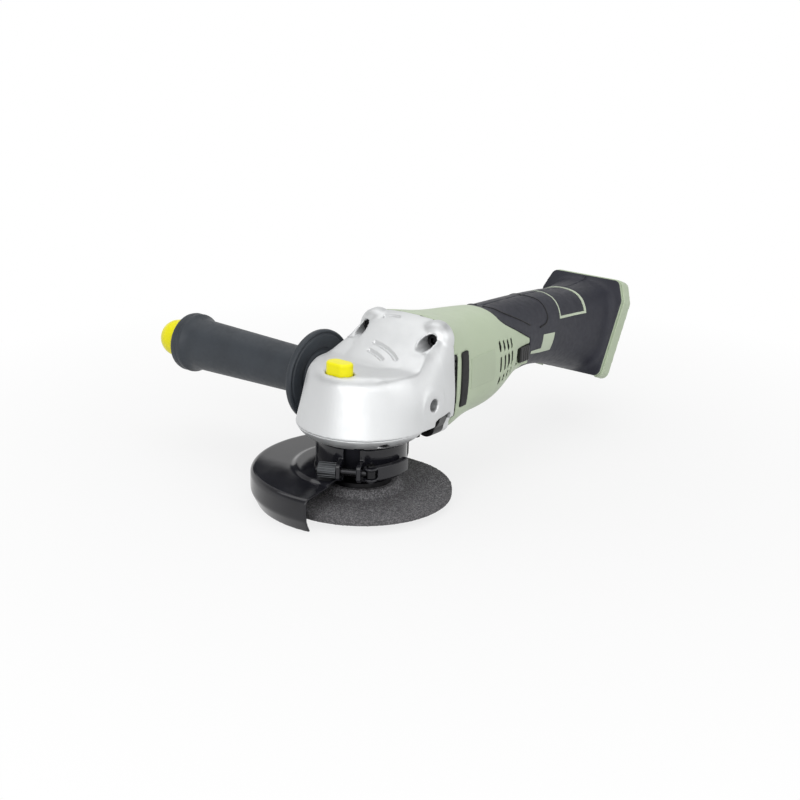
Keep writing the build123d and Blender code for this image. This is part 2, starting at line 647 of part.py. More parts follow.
def guard_collar():
    inner = NECK_RADIUS + SLIDING
    low = GUARD_STEP_Z - GUARD_SHEET
    ring = rod_z(inner + COLLAR_WALL, low, COLLAR_TOP_Z)
    near, far = EAR_OFFSET - EAR_SHEET / 2, EAR_OFFSET + EAR_SHEET / 2
    tip = CLAMP_REACH + 4.6
    base = CLAMP_Z - EAR_HEIGHT / 2
    ears = []
    for side in (-1, 1):
        ear = box((inner, tip), sorted((side * near, side * far)), (base, base + EAR_HEIGHT))
        ears.append(Rot(0, 0, CLAMP_ANGLE) * fillet(ear.edges().filter_by(Axis.Y).sort_by(Axis.X)[2:], 2.5))
    split = Rot(0, 0, CLAMP_ANGLE) * box((inner - 4, tip), (-near, near), (low, COLLAR_TOP_Z))
    body = ring.fuse(*ears) - rod_z(inner, low, COLLAR_TOP_Z) - split
    return body - clamp_rod(CLAMP_SCREW_RADIUS, -far - 3, far + 3)


def lever_pivot():
    """The lever's pin, as its distance past the split in the clamp's own frame."""
    return EAR_OFFSET + EAR_SHEET / 2 + LEVER_PIVOT_RADIUS + 1.0


def at_pivot(shape):
    return Rot(0, 0, CLAMP_ANGLE) * Pos(CLAMP_REACH, lever_pivot(), CLAMP_Z) * shape


def clamp_screw():
    far = EAR_OFFSET + EAR_SHEET / 2
    body = clamp_rod(CLAMP_SCREW_RADIUS, -far - ADJUSTER_LENGTH - 1.5, lever_pivot())
    body += at_pivot(Cylinder(LEVER_PIVOT_RADIUS - 1.0, 2 * CLAMP_SCREW_RADIUS - 0.4))
    return body - at_pivot(Cylinder(LEVER_PIN_RADIUS, 20))


def clamp_adjuster():
    far = EAR_OFFSET + EAR_SHEET / 2
    body = clamp_rod(ADJUSTER_RADIUS, -far - ADJUSTER_LENGTH, -far)
    for number in range(16):
        angle = math.radians(360 * number / 16)
        reach = ADJUSTER_RADIUS + 0.15
        groove = Pos(CLAMP_REACH + reach * math.cos(angle), -far - ADJUSTER_LENGTH / 2,
                     CLAMP_Z + reach * math.sin(angle)) * Rot(90, 0, 0) * Cylinder(0.5, ADJUSTER_LENGTH)
        body -= Rot(0, 0, CLAMP_ANGLE) * groove
    return body - clamp_rod(CLAMP_SCREW_RADIUS, -far - ADJUSTER_LENGTH, -far)


def lever_pin():
    half = LEVER_HEIGHT / 2 + FREE
    body = Cylinder(LEVER_PIN_RADIUS, 2 * half)
    for side in (-1, 1):
        body += Pos(0, 0, side * (half + 0.5)) * Cylinder(LEVER_PIN_RADIUS + 0.9, 1.0)
    return at_pivot(body)


def clamp_lever():
    pivot = (CLAMP_REACH, lever_pivot())
    start = math.degrees(math.atan2(pivot[1], pivot[0]))
    reach = NECK_RADIUS + SLIDING + COLLAR_WALL + 1.0 + LEVER_THICKNESS / 2
    bends = ((reach + 1.8, start + LEVER_SWEEP / 2), (reach, start + LEVER_SWEEP))
    middle, tip = [(radius * math.cos(math.radians(angle)), radius * math.sin(math.radians(angle)))
                   for radius, angle in bends]
    arm = trace(ThreePointArc(pivot, middle, tip), LEVER_THICKNESS)
    hub = Pos(*pivot) * Circle(LEVER_PIVOT_RADIUS)
    body = Pos(0, 0, CLAMP_Z - LEVER_HEIGHT / 2) * extrude(arm + hub, LEVER_HEIGHT)
    body = Rot(0, 0, CLAMP_ANGLE) * body
    fork = 2 * CLAMP_SCREW_RADIUS + 2 * FREE
    body -= at_pivot(Cylinder(LEVER_PIVOT_RADIUS + 0.2, fork))
    return body - at_pivot(Cylinder(LEVER_PIN_RADIUS + RUNNING, 20))


def behind(distance):
    """A place along X, as a distance behind the casting."""
    return CASTING_BACK_X + distance


def foot_plane(depth=0.0):
    """The battery foot's front face, or a plane the given depth behind it."""
    tilt = math.radians(FOOT_TILT)
    normal = Vector(math.cos(tilt), 0, -math.sin(tilt))
    origin = Vector(behind(FOOT_X), 0, MOTOR_Z + FOOT_Z) + normal * depth
    return Plane(origin, x_dir=(0, 1, 0), z_dir=normal)


def foot_outline(inset=0.0):
    top, wide, low = FOOT_TOP_HALF - inset, FOOT_WIDE_HALF - inset, FOOT_LOW_HALF - inset
    high = FOOT_TOP - inset
    outline = Polyline((-top, high), (top, high), (wide, FOOT_WIDE), (low, -high), (-low, -high),
                       (-wide, FOOT_WIDE), close=True)
    face = make_face(outline)
    return fillet(face.vertices(), FOOT_CORNER - min(inset, FOOT_CORNER - 1.0))


def rear_zone():
    """Everything behind the line where the grip's shells take over from the motor housing."""
    saddle, tongue = behind(SADDLE_X), behind(TONGUE_X)
    tip = MOTOR_Z + TONGUE_Z
    profile = Polyline((saddle, 140), (saddle, MOTOR_Z + 25.0), (saddle + 3.5, MOTOR_Z + 22.0), (tongue, tip),
                       (tongue, -20), (tongue + 200, -20), (tongue + 200, 140), close=True)
    return extrude(Plane.XZ * make_face(profile), 60, both=True)


def vents():
    """Air inlets: three rows of slots through each side wall, with ends that follow an arch."""
    slots = []
    for rise, height, slant in VENT_ROWS:
        for column in range(VENT_COLUMNS):
            low, high = rise - height / 2, rise + height / 2
            lean = slant * (column - (VENT_COLUMNS - 1) / 2)
            outline = Polyline((0, low + lean), (VENT_WIDTH, low + lean + slant / 2),
                               (VENT_WIDTH, high + lean + slant / 2), (0, high + lean), close=True)
            slot = extrude(Plane.XZ * make_face(outline), VENT_REACH)
            for y in (-VENT_DEPTH, VENT_DEPTH + VENT_REACH):
                slots.append(Pos(behind(VENT_X) + VENT_PITCH * column, y, MOTOR_Z) * slot)
    return slots


def half_sizes(distance):
    """Half width and half height of the body at a distance behind the casting."""
    for near, far in zip(BODY_FORM, BODY_FORM[1:]):
        if near[0] <= distance <= far[0]:
            share = (distance - near[0]) / (far[0] - near[0])
            return [near[column] + share * (far[column] - near[column]) for column in (2, 3)]


def wall_ribs(low, high, inner_radius):
    """Four ribs that stand in from the motor housing's wall to a round seat."""
    width, height = half_sizes(max(low, high) - CASTING_BACK_X)
    sink = BODY_WALL / 2
    blocks = []
    for side in (-1, 1):
        blocks.append(box((low, high), sorted((0, side * (width - sink))), (MOTOR_Z - 3, MOTOR_Z + 3)))
        blocks.append(box((low, high), (-3, 3), sorted((MOTOR_Z, MOTOR_Z + side * (height - sink)))))
    core = rod_x(inner_radius, low, high)
    return [block - core for block in blocks]


def pad_seat():
    """The recess for a rubber bar on each side of the motor housing."""
    half = PAD_HEIGHT / 2
    low = behind(PAD_X)
    block = box((low, low + PAD_WIDTH), (-60, 60), (MOTOR_Z + 1 - half, MOTOR_Z + 1 + half))
    return block - form(BODY_FORM[:4], PAD_SEAT)


def side_pads():
    return Compound((pad_seat() & form(BODY_FORM[:4], -PAD_PROUD)).solids())


def switch_block(x, y, half_height):
    """A block of the slide switch, about its middle height."""
    middle = MOTOR_Z + SWITCH_Z
    return box(x, y, (middle - half_height, middle + half_height))


def switch_places():
    """Front and back of the switch's thumb piece, and of the stem under it."""
    front = behind(SWITCH_X)
    back = front + SWITCH_LENGTH
    return front, back, back - 1.0 - SWITCH_STEM, back - 1.0


def motor_housing():
    slot_low = MOTOR_Z - 1.5 - SLOT_HEIGHT / 2
    exhaust = box((CASTING_BACK_X, behind(SLOT_DEPTH)), (-60, 60), (slot_low, slot_low + SLOT_HEIGHT))
    front, back, stem_front, stem_back = switch_places()
    ledge = switch_block((front - SWITCH_TRAVEL - 3, behind(TONGUE_X)),
                         (SWITCH_FLOOR_Y - 1, SWITCH_FLOOR_Y + SWITCH_WALL), SWITCH_HEIGHT / 2 + 3)
    pocket = switch_block((front - SWITCH_TRAVEL - 0.5, 200), (-60, SWITCH_FLOOR_Y), SWITCH_HEIGHT / 2 + FREE)
    track = switch_block((stem_front - SWITCH_TRAVEL - FREE, stem_back + FREE),
                         (-60, SWITCH_FLOOR_Y + SWITCH_WALL + 1), SWITCH_STEM_HEIGHT / 2 + FREE)
    pillars = [rod_x(SCREW_RADIUS + 1.5, CASTING_BACK_X, SCREW_TIP_X + 1.5, y, z)
               for _, y, z in screw_spots()]
    bores = [rod_x(SCREW_RADIUS, CASTING_BACK_X - 1, SCREW_TIP_X, y, z) for _, y, z in screw_spots()]
    inside = wall_ribs(STATOR_LOW, STATOR_HIGH, STATOR_RADIUS) + pillars + [ledge]
    inside += wall_ribs(HOLDER_LOW, HOLDER_LOW + 4, HOLDER_RADIUS)
    shell = form(MOTOR_FORM) - [form(MOTOR_FORM, BODY_WALL)]
    return shell - [rear_zone()] + inside - [exhaust, pad_seat(), pocket, track] - bores - vents()


def switch_inner():
    """The inner face of the switch ledge, with the slider's play."""
    return SWITCH_FLOOR_Y + SWITCH_WALL + SLIDING


def switch_knob():
    front, back, stem_front, stem_back = switch_places()
    base = SWITCH_FLOOR_Y - SLIDING
    body = switch_block((front, back), (base - 3.2, base), SWITCH_HEIGHT / 2)
    body = chamfer(body.edges().group_by(Axis.Y)[0], 0.8)
    for number in range(3):
        x = front + 3.0 + 2.5 * number
        body -= switch_block((x - 0.5, x + 0.5), (base - 4, base - 2.5), SWITCH_HEIGHT)
    return body + switch_block((stem_front, stem_back), (base - 1, switch_inner()), SWITCH_STEM_HEIGHT / 2)


def switch_rod():
    _, _, stem_front, stem_back = switch_places()
    low = switch_inner()
    return switch_block((stem_front - 1, stem_back + SWITCH_REACH), (low, low + 2.2),
                        SWITCH_STEM_HEIGHT / 2 + 1.0)


def micro_switch():
    _, _, _, stem_back = switch_places()
    low = switch_inner() + 1.0
    near = stem_back + SWITCH_REACH + FREE
    body = switch_block((near, near + 16), (low, low + 8), 6)
    return body + switch_block((near + 2, near + 6), (low + 8, low + 11), 1.0)


def air_baffle():
    """Plate behind the casting that holds the front bearing and turns the fan's air outwards."""
    back = CASTING_BACK_X + 2
    plate = rod_x(BAFFLE_RADIUS, CASTING_BACK_X, back)
    spigot = rod_x(FRONT_BEARING[1], FRONT_BEARING_X + FRONT_BEARING[2], CASTING_BACK_X)
    lip = rod_x(BAFFLE_RADIUS, back, FAN_LOW) - rod_x(BAFFLE_RADIUS - 2, back, FAN_LOW)
    return plate + spigot + lip - rod_x(FRONT_BEARING[1] - 2.5, 0, 200)


def fan():
    hub = FRONT_BEARING[0]
    plate = rod_x(FAN_RADIUS, FAN_LOW, FAN_LOW + 1.6) + rod_x(hub + 4, FAN_LOW, FAN_LOW + FAN_WIDTH)
    arc = ThreePointArc((hub + 3.5, 0), (FAN_RADIUS * 0.62, 3.2), (FAN_RADIUS - 0.3, 0))
    blade = Pos(FAN_LOW + 1, 0, MOTOR_Z) * Rot(0, 90, 0) * extrude(trace(arc, 1.4), FAN_WIDTH - 1)
    spin = [Pos(0, 0, MOTOR_Z) * Rot(360 * number / FAN_BLADES, 0, 0) * Pos(0, 0, -MOTOR_Z) * blade
            for number in range(FAN_BLADES)]
    return plate + spin - rod_x(hub, 0, 200)


def rotor_shaft():
    thin, front = REAR_BEARING[0], FRONT_BEARING[0]
    core = front + 0.5
    return turned_x([(PINION_FRONT, 0), (PINION_FRONT, thin), (PINION_BACK, thin), (PINION_BACK, front),
                     (STATOR_LOW - 3, front), (STATOR_LOW - 3, core), (STATOR_HIGH + 3, core),
                     (STATOR_HIGH + 3, thin), (SHAFT_END, thin), (SHAFT_END, 0)])


def pinion_nut():
    front = PINION_FRONT
    body = Pos(front, 0, MOTOR_Z) * Rot(0, 90, 0) * extrude(RegularPolygon(REAR_BEARING[0] + 2.2, 6), 3.0)
    return body - rod_x(REAR_BEARING[0], 0, 200)


def magnet_slots():
    slab = box((STATOR_LOW + 1, STATOR_HIGH - 1), (-6.5, 6.5), (MOTOR_Z + 9.0, MOTOR_Z + 11.6))
    return [Pos(0, 0, MOTOR_Z) * Rot(90 * number, 0, 0) * Pos(0, 0, -MOTOR_Z) * slab for number in range(4)]


def rotor_core():
    bore = rod_x(FRONT_BEARING[0] + 0.5, 0, 200)
    return rod_x(ROTOR_RADIUS, STATOR_LOW, STATOR_HIGH) - [bore] - magnet_slots()


def rotor_magnets():
    return Compound(magnet_slots())


def round_motor(shape, count):
    """Copies of a shape set evenly round the motor axis."""
    return [Pos(0, 0, MOTOR_Z) * Rot(360 * number / count, 0, 0) * Pos(0, 0, -MOTOR_Z) * shape
            for number in range(count)]


def stator_core():
    bore = ROTOR_RADIUS + AIR_GAP
    yoke = rod_x(STATOR_RADIUS, STATOR_LOW, STATOR_HIGH)
    yoke -= rod_x(STATOR_RADIUS - YOKE, STATOR_LOW, STATOR_HIGH)
    tooth = box((STATOR_LOW, STATOR_HIGH), (-3.5, 3.5), (MOTOR_Z + bore - 1, MOTOR_Z + STATOR_RADIUS - 4))
    shoe = box((STATOR_LOW, STATOR_HIGH), (-6.0, 6.0), (MOTOR_Z + bore - 3, MOTOR_Z + bore + 1.6))
    return yoke + round_motor(tooth, STATOR_TEETH) + round_motor(shoe, STATOR_TEETH) - rod_x(bore, 0, 200)


def stator_coils():
    bore = ROTOR_RADIUS + AIR_GAP
    half = 6.2
    low, high = MOTOR_Z + bore + 1.6, MOTOR_Z + math.sqrt((STATOR_RADIUS - YOKE) ** 2 - half ** 2) - FREE
    coil = box((STATOR_LOW - 4.5, STATOR_HIGH + 4.5), (-half, half), (low, high))
    coil = fillet(coil.edges().filter_by(Axis.Z), 3.0)
    coil -= box((STATOR_LOW, STATOR_HIGH), (-3.5, 3.5), (low, high))
    return Compound(round_motor(coil, STATOR_TEETH))


def sensor_board():
    ring = rod_x(HOLDER_RADIUS - 2, BOARD_LOW, HOLDER_LOW) - rod_x(REAR_BEARING[1], BOARD_LOW, HOLDER_LOW)
    return ring


def bearing_holder():
    """Spider that carries the rear bearing in the motor housing."""
    end = SHAFT_END + 1.5
    hub = rod_x(REAR_BEARING[1] + 2.5, HOLDER_LOW, end)
    ring = rod_x(HOLDER_RADIUS, HOLDER_LOW, HOLDER_LOW + 4)
    ring -= rod_x(HOLDER_RADIUS - 4, HOLDER_LOW, HOLDER_LOW + 4)
    arm = box((HOLDER_LOW, HOLDER_LOW + 4), (-2.5, 2.5), (MOTOR_Z, MOTOR_Z + HOLDER_RADIUS - 1))
    arms = [Pos(0, 0, MOTOR_Z) * Rot(45, 0, 0) * Pos(0, 0, -MOTOR_Z) * part for part in round_motor(arm, 4)]
    seat = [rod_x(REAR_BEARING[1], REAR_BEARING_X, end - 1.5), rod_x(REAR_BEARING[0] + 2.5, 0, 200),
            rod_x(REAR_BEARING[1], 0, REAR_BEARING_X)]
    return hub + [ring] + arms - seat


def on_motor_axis(pair, x):
    """Turns a bearing's rings to lie on the motor axis, from x backwards."""
    return [Pos(x, 0, MOTOR_Z) * Rot(0, 90, 0) * ring for ring in pair]


def side_reach(distance, height):
    """Half width of the grip at a distance behind the casting and a height above the motor axis."""
    for near, far in zip(BODY_FORM, BODY_FORM[1:]):
        if near[0] <= distance <= far[0]:
            share = (distance - near[0]) / (far[0] - near[0])
            _, rise, width, tall, square = [low + share * (high - low) for low, high in zip(near, far)]
            return width * (1 - abs((height - rise) / tall) ** square) ** (1 / square)


def side_oval(half_width, half_height, squareness, side):
    """One side of a superellipse and a little past its middle, closed by a straight edge."""
    points = []
    for step in range(SIDE_POINTS + 1):
        angle = math.radians(-90 - SIDE_PAST + (180 + 2 * SIDE_PAST) * step / SIDE_POINTS)
        across = math.copysign(abs(math.cos(angle)) ** (2 / squareness), math.cos(angle))
        up = math.copysign(abs(math.sin(angle)) ** (2 / squareness), math.sin(angle))
        points.append((side * half_width * across, half_height * up))
    return make_face(Spline(*points) + Line(points[-1], points[0]))


def grip_form(side, inset=0.0, past=0.0):
    """One side of the grip's body, which flares into the face of the battery foot."""
    sections = []
    for x, rise, half_width, half_height, squareness in BODY_FORM[3:]:
        start = behind(x) - (0.0 if sections else past)
        plane = Plane((start, 0, MOTOR_Z + rise), x_dir=(0, 1, 0), z_dir=(1, 0, 0))
        sections.append(plane * side_oval(half_width - inset, half_height - inset, squareness, side))
    flare = side_oval(FLARE_HALF_WIDTH - inset, FLARE_HALF_HEIGHT - inset, FLARE_SQUARENESS, side)
    sections.append(foot_plane(past) * flare)
    return loft(sections)


def half_space(side):
    """All that lies on one side of the grip's middle plane."""
    return box((0, 400), sorted((0, side * 80)), (-40, 160))


def foot_block(across, up, depth):
    """A block in the foot's own plane, from three (low, high) pairs."""
    width, height = across[1] - across[0], up[1] - up[0]
    centre = Pos((across[0] + across[1]) / 2, (up[0] + up[1]) / 2)
    return extrude(foot_plane(depth[0]) * (centre * Rectangle(width, height)), depth[1] - depth[0])


def band_prism():
    """A thin line that loops over the back of the grip, drawn from the side."""
    def loop(margin):
        front, back = behind(BAND_FRONT) - margin, behind(BAND_BACK) + margin
        low = MOTOR_Z + BAND_LOW - margin
        return Polyline((front, low), (back, low - 2), (back + BAND_LEAN, 140), (front + BAND_LEAN, 140),
                        close=True)
    return extrude(Plane.XZ * (make_face(loop(BAND_WIDTH)) - make_face(loop(0))), 60, both=True)


def inlay_prism():
    """The slanted light panel on the side of the grip, with its tail towards the switch."""
    x, z = behind(INLAY_X), MOTOR_Z + INLAY_Z
    outline = Polyline((x - 2, z - 6), (x + 5.5, z - 6), (x + 7.5, z + 7), (x - 1, z + 7), (x - 2.5, z - 2.5),
                       (x - INLAY_TAIL, z - 4), (x - INLAY_TAIL, z - 5.6), (x - 2.4, z - 5), close=True)
    return extrude(Plane.XZ * make_face(outline), 60, both=True)


def inlay_seat(prism, side):
    """The recess for an inlay: the prism outside a depth under the grip's surface, on one side."""
    return (prism & half_space(side)) - [grip_form(side, INLAY_DEPTH, INLAY_DEPTH)]


def inlays(prism):
    sides = [inlay_seat(prism, side) & grip_form(side) for side in (-1, 1)]
    return Compound([solid for side in sides for solid in side.solids()])


def grip_half(side):
    """One of the two shells that make the grip and the front of the battery foot."""
    shell = grip_form(side, 0.0, FOOT_PLATE / 4) - [half_space(-side)]
    shell = (shell - [grip_form(side, BODY_WALL, BODY_WALL)]) & rear_zone()
    plate = extrude(foot_plane() * foot_outline(), FOOT_PLATE) & half_space(side)
    under_skin = grip_form(side, BODY_WALL / 2)
    inside, cuts = [], [foot_block((-20, 20), (-22, 24), (-1, FOOT_PLATE + 1))]
    for distance, height in GRIP_SCREWS:
        x, z = behind(distance), MOTOR_Z + height
        reach = side_reach(distance, height)
        inside.append(rod_y(GRIP_PILLAR, *sorted((0, side * reach)), x, z) & under_skin)
        cuts.append(rod_y(GRIP_SCREW_RADIUS, -GRIP_SCREW_DEPTH, reach, x, z))
        cuts.append(rod_y(GRIP_HEAD_RADIUS + FREE, reach - GRIP_HEAD_SINK, 60, x, z))
    for distance in CONTROLLER_RIBS:
        reach = side_reach(distance, 0) - BODY_WALL / 2
        rib = sorted((side * CONTROLLER_HALF_WIDTH, side * reach))
        inside.append(box((behind(distance), behind(distance) + 3), rib, (MOTOR_Z - 8, MOTOR_Z + 8)))
    if side < 0:
        distance = TONGUE_X + 8
        reach = side_reach(distance, SWITCH_Z) - BODY_WALL / 2
        inside.append(switch_block((behind(distance), behind(distance) + 8),
                                   (-reach, switch_inner() + 1.0), 4))
    cuts += [inlay_seat(prism, side) for prism in (band_prism(), inlay_prism())]
    return shell + [plate] + inside - cuts


def grip_screws():
    solids = []
    for distance, height in GRIP_SCREWS:
        x, z = behind(distance), MOTOR_Z + height
        seat = side_reach(distance, height) - GRIP_HEAD_SINK
        head = rod_y(GRIP_HEAD_RADIUS, seat, seat + 2.0, x, z) - rod_y(1.3, seat + 0.8, seat + 2.0, x, z)
        solids.append(head + rod_y(GRIP_SCREW_RADIUS, -GRIP_SCREW_DEPTH, seat, x, z))
    return Compound(solids)


def controller():
    low, high = behind(CONTROLLER_X), behind(CONTROLLER_X) + CONTROLLER_LENGTH
    half = CONTROLLER_HALF_WIDTH
    body = box((low, high), (-half, half), (MOTOR_Z - 13, MOTOR_Z + 17.5))
    for number in range(5):
        x = low + 5 + 5 * number
        body -= box((x, x + 2), (-half, half), (MOTOR_Z - 13, MOTOR_Z - 9))
    return body


def motor_leads():
    end = behind(CONTROLLER_X)
    return Compound([rod_x(LEAD_RADIUS, HOLDER_LOW, end, y, MOTOR_Z + 15) for y in (-4, 0, 4)])


def battery_leads():
    start = behind(CONTROLLER_X) + CONTROLLER_LENGTH
    rear = extrude(foot_plane(FOOT_PLATE) * Rectangle(300, 300), 100)
    return Compound([rod_x(LEAD_RADIUS + 0.6, start, behind(FOOT_X) + 30, y, MOTOR_Z - 2) - rear
                     for y in (-6, 6)])


def foot_frame():
    """The coloured rim behind the grip's face, open below so that a battery can slide in."""
    rim = extrude(foot_plane(FOOT_PLATE) * foot_outline(-1.0), FOOT_DEPTH)
    wall = BAY_HALF_WIDTH + RAIL_WALL
    return rim - foot_block((-wall, wall), (-60, BAY_TOP + 5), (FOOT_PLATE, FOOT_PLATE + FOOT_DEPTH))


def battery_plate():
    """Back plate with the pair of rails that a battery slides on to."""
    wall = BAY_HALF_WIDTH + RAIL_WALL
    front, back = FOOT_PLATE, FOOT_PLATE + FOOT_DEPTH
    body = foot_block((-wall, wall), (-FOOT_TOP, BAY_TOP + 5), (front, front + BAY_FLOOR))
    for side in (-1, 1):
        rail = sorted((side * BAY_HALF_WIDTH, side * wall))
        lip = sorted((side * (BAY_HALF_WIDTH - RAIL_LIP), side * BAY_HALF_WIDTH))
        body += foot_block(rail, (-FOOT_TOP, BAY_TOP), (front + BAY_FLOOR, back))
        body += foot_block(lip, (-FOOT_TOP, BAY_TOP - 12), (back - RAIL_LIP, back))
    return body


def terminal_slots():
    low = FOOT_PLATE + BAY_FLOOR + 1
    return [foot_block((u - 0.5, u + 0.5), (0, BAY_TOP - 3), (low, low + 3)) for u in (-9, -3, 3, 9)]


def terminal_block():
    front = FOOT_PLATE + BAY_FLOOR
    return foot_block((-13, 13), (BAY_TOP - 14, BAY_TOP + 2), (front, front + 5)) - terminal_slots()


def handle_grip():
    """Turned side handle: wide hand flange, swelling grip and an end ring for the cap."""
    flange_back = HANDLE_FLANGE_Y + HANDLE_FLANGE_THICKNESS
    ring = HANDLE_END_Y - 9.0
    stud_end = HANDLE_FLANGE_Y + HANDLE_STUD_DEPTH
    edge = Polyline((HANDLE_STUD_RADIUS, HANDLE_FLANGE_Y), (HANDLE_FLANGE_RADIUS - 1.5, HANDLE_FLANGE_Y),
                    (HANDLE_FLANGE_RADIUS, HANDLE_FLANGE_Y + 1.5), (HANDLE_FLANGE_RADIUS, flange_back))
    neck = Spline((HANDLE_FLANGE_RADIUS, flange_back), (GRIP_NEAR_RADIUS + 3.0, flange_back + 4.0),
                  (GRIP_NEAR_RADIUS, flange_back + 14.0), (GRIP_NEAR_RADIUS + 1.6, (flange_back + ring) / 2),
                  (GRIP_FAR_RADIUS, ring - 7.0), (HANDLE_RING_RADIUS, ring))
    end = Polyline((HANDLE_RING_RADIUS, ring), (HANDLE_RING_RADIUS, HANDLE_END_Y - 1.5),
                   (HANDLE_RING_RADIUS - 1.5, HANDLE_END_Y), (CAP_RADIUS, HANDLE_END_Y),
                   (CAP_RADIUS, HANDLE_END_Y - CAP_SEAT), (0, HANDLE_END_Y - CAP_SEAT),
                   (0, stud_end), (HANDLE_STUD_RADIUS, stud_end), (HANDLE_STUD_RADIUS, HANDLE_FLANGE_Y))
    return turned_y(make_face(edge + neck + end))


def handle_stud():
    """Threaded stud, with the shoulder that bears on the casting's boss."""
    tip = HANDLE_BOSS_Y - HANDLE_THREAD_DEPTH + 2.0
    end = HANDLE_FLANGE_Y + HANDLE_STUD_DEPTH
    return turned_y([(0, tip), (HANDLE_THREAD_RADIUS - 0.8, tip), (HANDLE_THREAD_RADIUS, tip + 0.8),
                     (HANDLE_THREAD_RADIUS, HANDLE_BOSS_Y), (HANDLE_COLLAR_RADIUS, HANDLE_BOSS_Y),
                     (HANDLE_COLLAR_RADIUS, HANDLE_FLANGE_Y), (HANDLE_STUD_RADIUS, HANDLE_FLANGE_Y),
                     (HANDLE_STUD_RADIUS, end), (0, end)])


def handle_cap():
    base = HANDLE_END_Y - CAP_SEAT
    top = HANDLE_END_Y + CAP_PROUD
    shoulder = top - CAP_DOME
    crown = (CAP_RADIUS * math.sin(math.radians(50)), shoulder + CAP_DOME * math.cos(math.radians(50)))
    wall = Polyline((0, base), (CAP_RADIUS, base), (CAP_RADIUS, shoulder))
    dome = ThreePointArc((CAP_RADIUS, shoulder), crown, (CAP_FLAT, top))
    return turned_y(make_face(wall + dome + Polyline((CAP_FLAT, top), (0, top), (0, base))))


def build():
    """Every separate piece, by node name."""
    spindle_rings = [Pos(0, 0, BEARING_LOW) * ring for ring in ball_bearing(SPINDLE_BEARING, 9)]
    front_rings = on_motor_axis(ball_bearing(FRONT_BEARING, 8), FRONT_BEARING_X)
    rear_rings = on_motor_axis(ball_bearing(REAR_BEARING, 7), REAR_BEARING_X)
    return {
        "gear_housing": gear_housing(),
        "bearing_cover": bearing_cover(),
        "cover_screws": cover_screws(),
        "housing_screws": housing_screws(),
        "dust_seal": dust_seal(),
        "spindle_bearing_outer": spindle_rings[0],
        "spindle_bearing_inner": spindle_rings[1],
        "spindle_bush": spindle_bush(),
        "spindle": spindle(),
        "gear_key": key_block(),
        "bevel_gear": bevel_gear(),
        "gear_clip": gear_clip(),
        "inner_flange": inner_flange(),
        "grinding_wheel": grinding_wheel(),
        "wheel_bushing": wheel_bushing(),
        "lock_nut": lock_nut(),
        "lock_button": lock_button(),
        "lock_pin": lock_pin(),
        "lock_springs": lock_springs(),
        "guard_shell": guard_shell(),
        "guard_collar": guard_collar(),
        "clamp_screw": clamp_screw(),
        "clamp_adjuster": clamp_adjuster(),
        "lever_pin": lever_pin(),
        "clamp_lever": clamp_lever(),
        "motor_housing": motor_housing(),
        "side_pads": side_pads(),
        "air_baffle": air_baffle(),
        "stator_core": stator_core(),
        "stator_coils": stator_coils(),
        "sensor_board": sensor_board(),
        "bearing_holder": bearing_holder(),
        "front_bearing_outer": front_rings[0],
        "front_bearing_inner": front_rings[1],
        "rear_bearing_outer": rear_rings[0],
        "rear_bearing_inner": rear_rings[1],
        "rotor_shaft": rotor_shaft(),
        "pinion": pinion(),
        "pinion_nut": pinion_nut(),
        "fan": fan(),
        "rotor_core": rotor_core(),
        "rotor_magnets": rotor_magnets(),
        "switch_knob": switch_knob(),
        "switch_rod": switch_rod(),
        "micro_switch": micro_switch(),
        "grip_left": grip_half(-1),
        "grip_right": grip_half(1),
        "grip_bands": inlays(band_prism()),
        "grip_inlays": inlays(inlay_prism()),
        "grip_screws": grip_screws(),
        "controller": controller(),
        "motor_leads": motor_leads(),
        "battery_leads": battery_leads(),
        "foot_frame": foot_frame(),
        "battery_plate": battery_plate(),
        "terminal_block": terminal_block(),
        "terminals": Compound(terminal_slots()),
        "handle_stud": handle_stud(),
        "handle_grip": handle_grip(),
        "handle_cap": handle_cap(),
    }


def main():
    os.makedirs("parts", exist_ok=True)
    for node, shape in build().items():
        export_step(shape, f"parts/{node}.step")


if __name__ == "__main__":
    main()
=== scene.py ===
"""Angle grinder: finishes, moulded skins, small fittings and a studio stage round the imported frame."""

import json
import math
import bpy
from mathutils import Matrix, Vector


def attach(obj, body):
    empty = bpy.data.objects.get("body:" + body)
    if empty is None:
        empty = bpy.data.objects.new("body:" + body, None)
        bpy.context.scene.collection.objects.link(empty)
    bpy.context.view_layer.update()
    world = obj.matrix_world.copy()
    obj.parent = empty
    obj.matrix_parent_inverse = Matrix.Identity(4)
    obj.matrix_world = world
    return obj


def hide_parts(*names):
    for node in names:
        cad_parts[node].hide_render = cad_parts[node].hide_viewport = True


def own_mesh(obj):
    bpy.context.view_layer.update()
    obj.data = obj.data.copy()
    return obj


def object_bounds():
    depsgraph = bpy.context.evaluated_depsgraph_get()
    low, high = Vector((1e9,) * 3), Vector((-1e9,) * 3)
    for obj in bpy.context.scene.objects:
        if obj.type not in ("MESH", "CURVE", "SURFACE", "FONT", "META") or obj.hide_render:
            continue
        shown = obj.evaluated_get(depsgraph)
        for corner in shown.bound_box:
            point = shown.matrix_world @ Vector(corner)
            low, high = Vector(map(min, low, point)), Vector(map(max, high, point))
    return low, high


bl_info = {
    "name": "Angle grinder dresser",
    "version": (1, 0, 0),
    "blender": (4, 5, 0),
    "location": "View3D > Sidebar > Grinder",
    "description": "Gives a cordless angle grinder its finishes, moulded edges, fittings and studio stage",
    "category": "Object",
}

import bpy
from bpy.props import FloatProperty, FloatVectorProperty, PointerProperty
from mathutils import Matrix, Vector
from mathutils.kdtree import KDTree

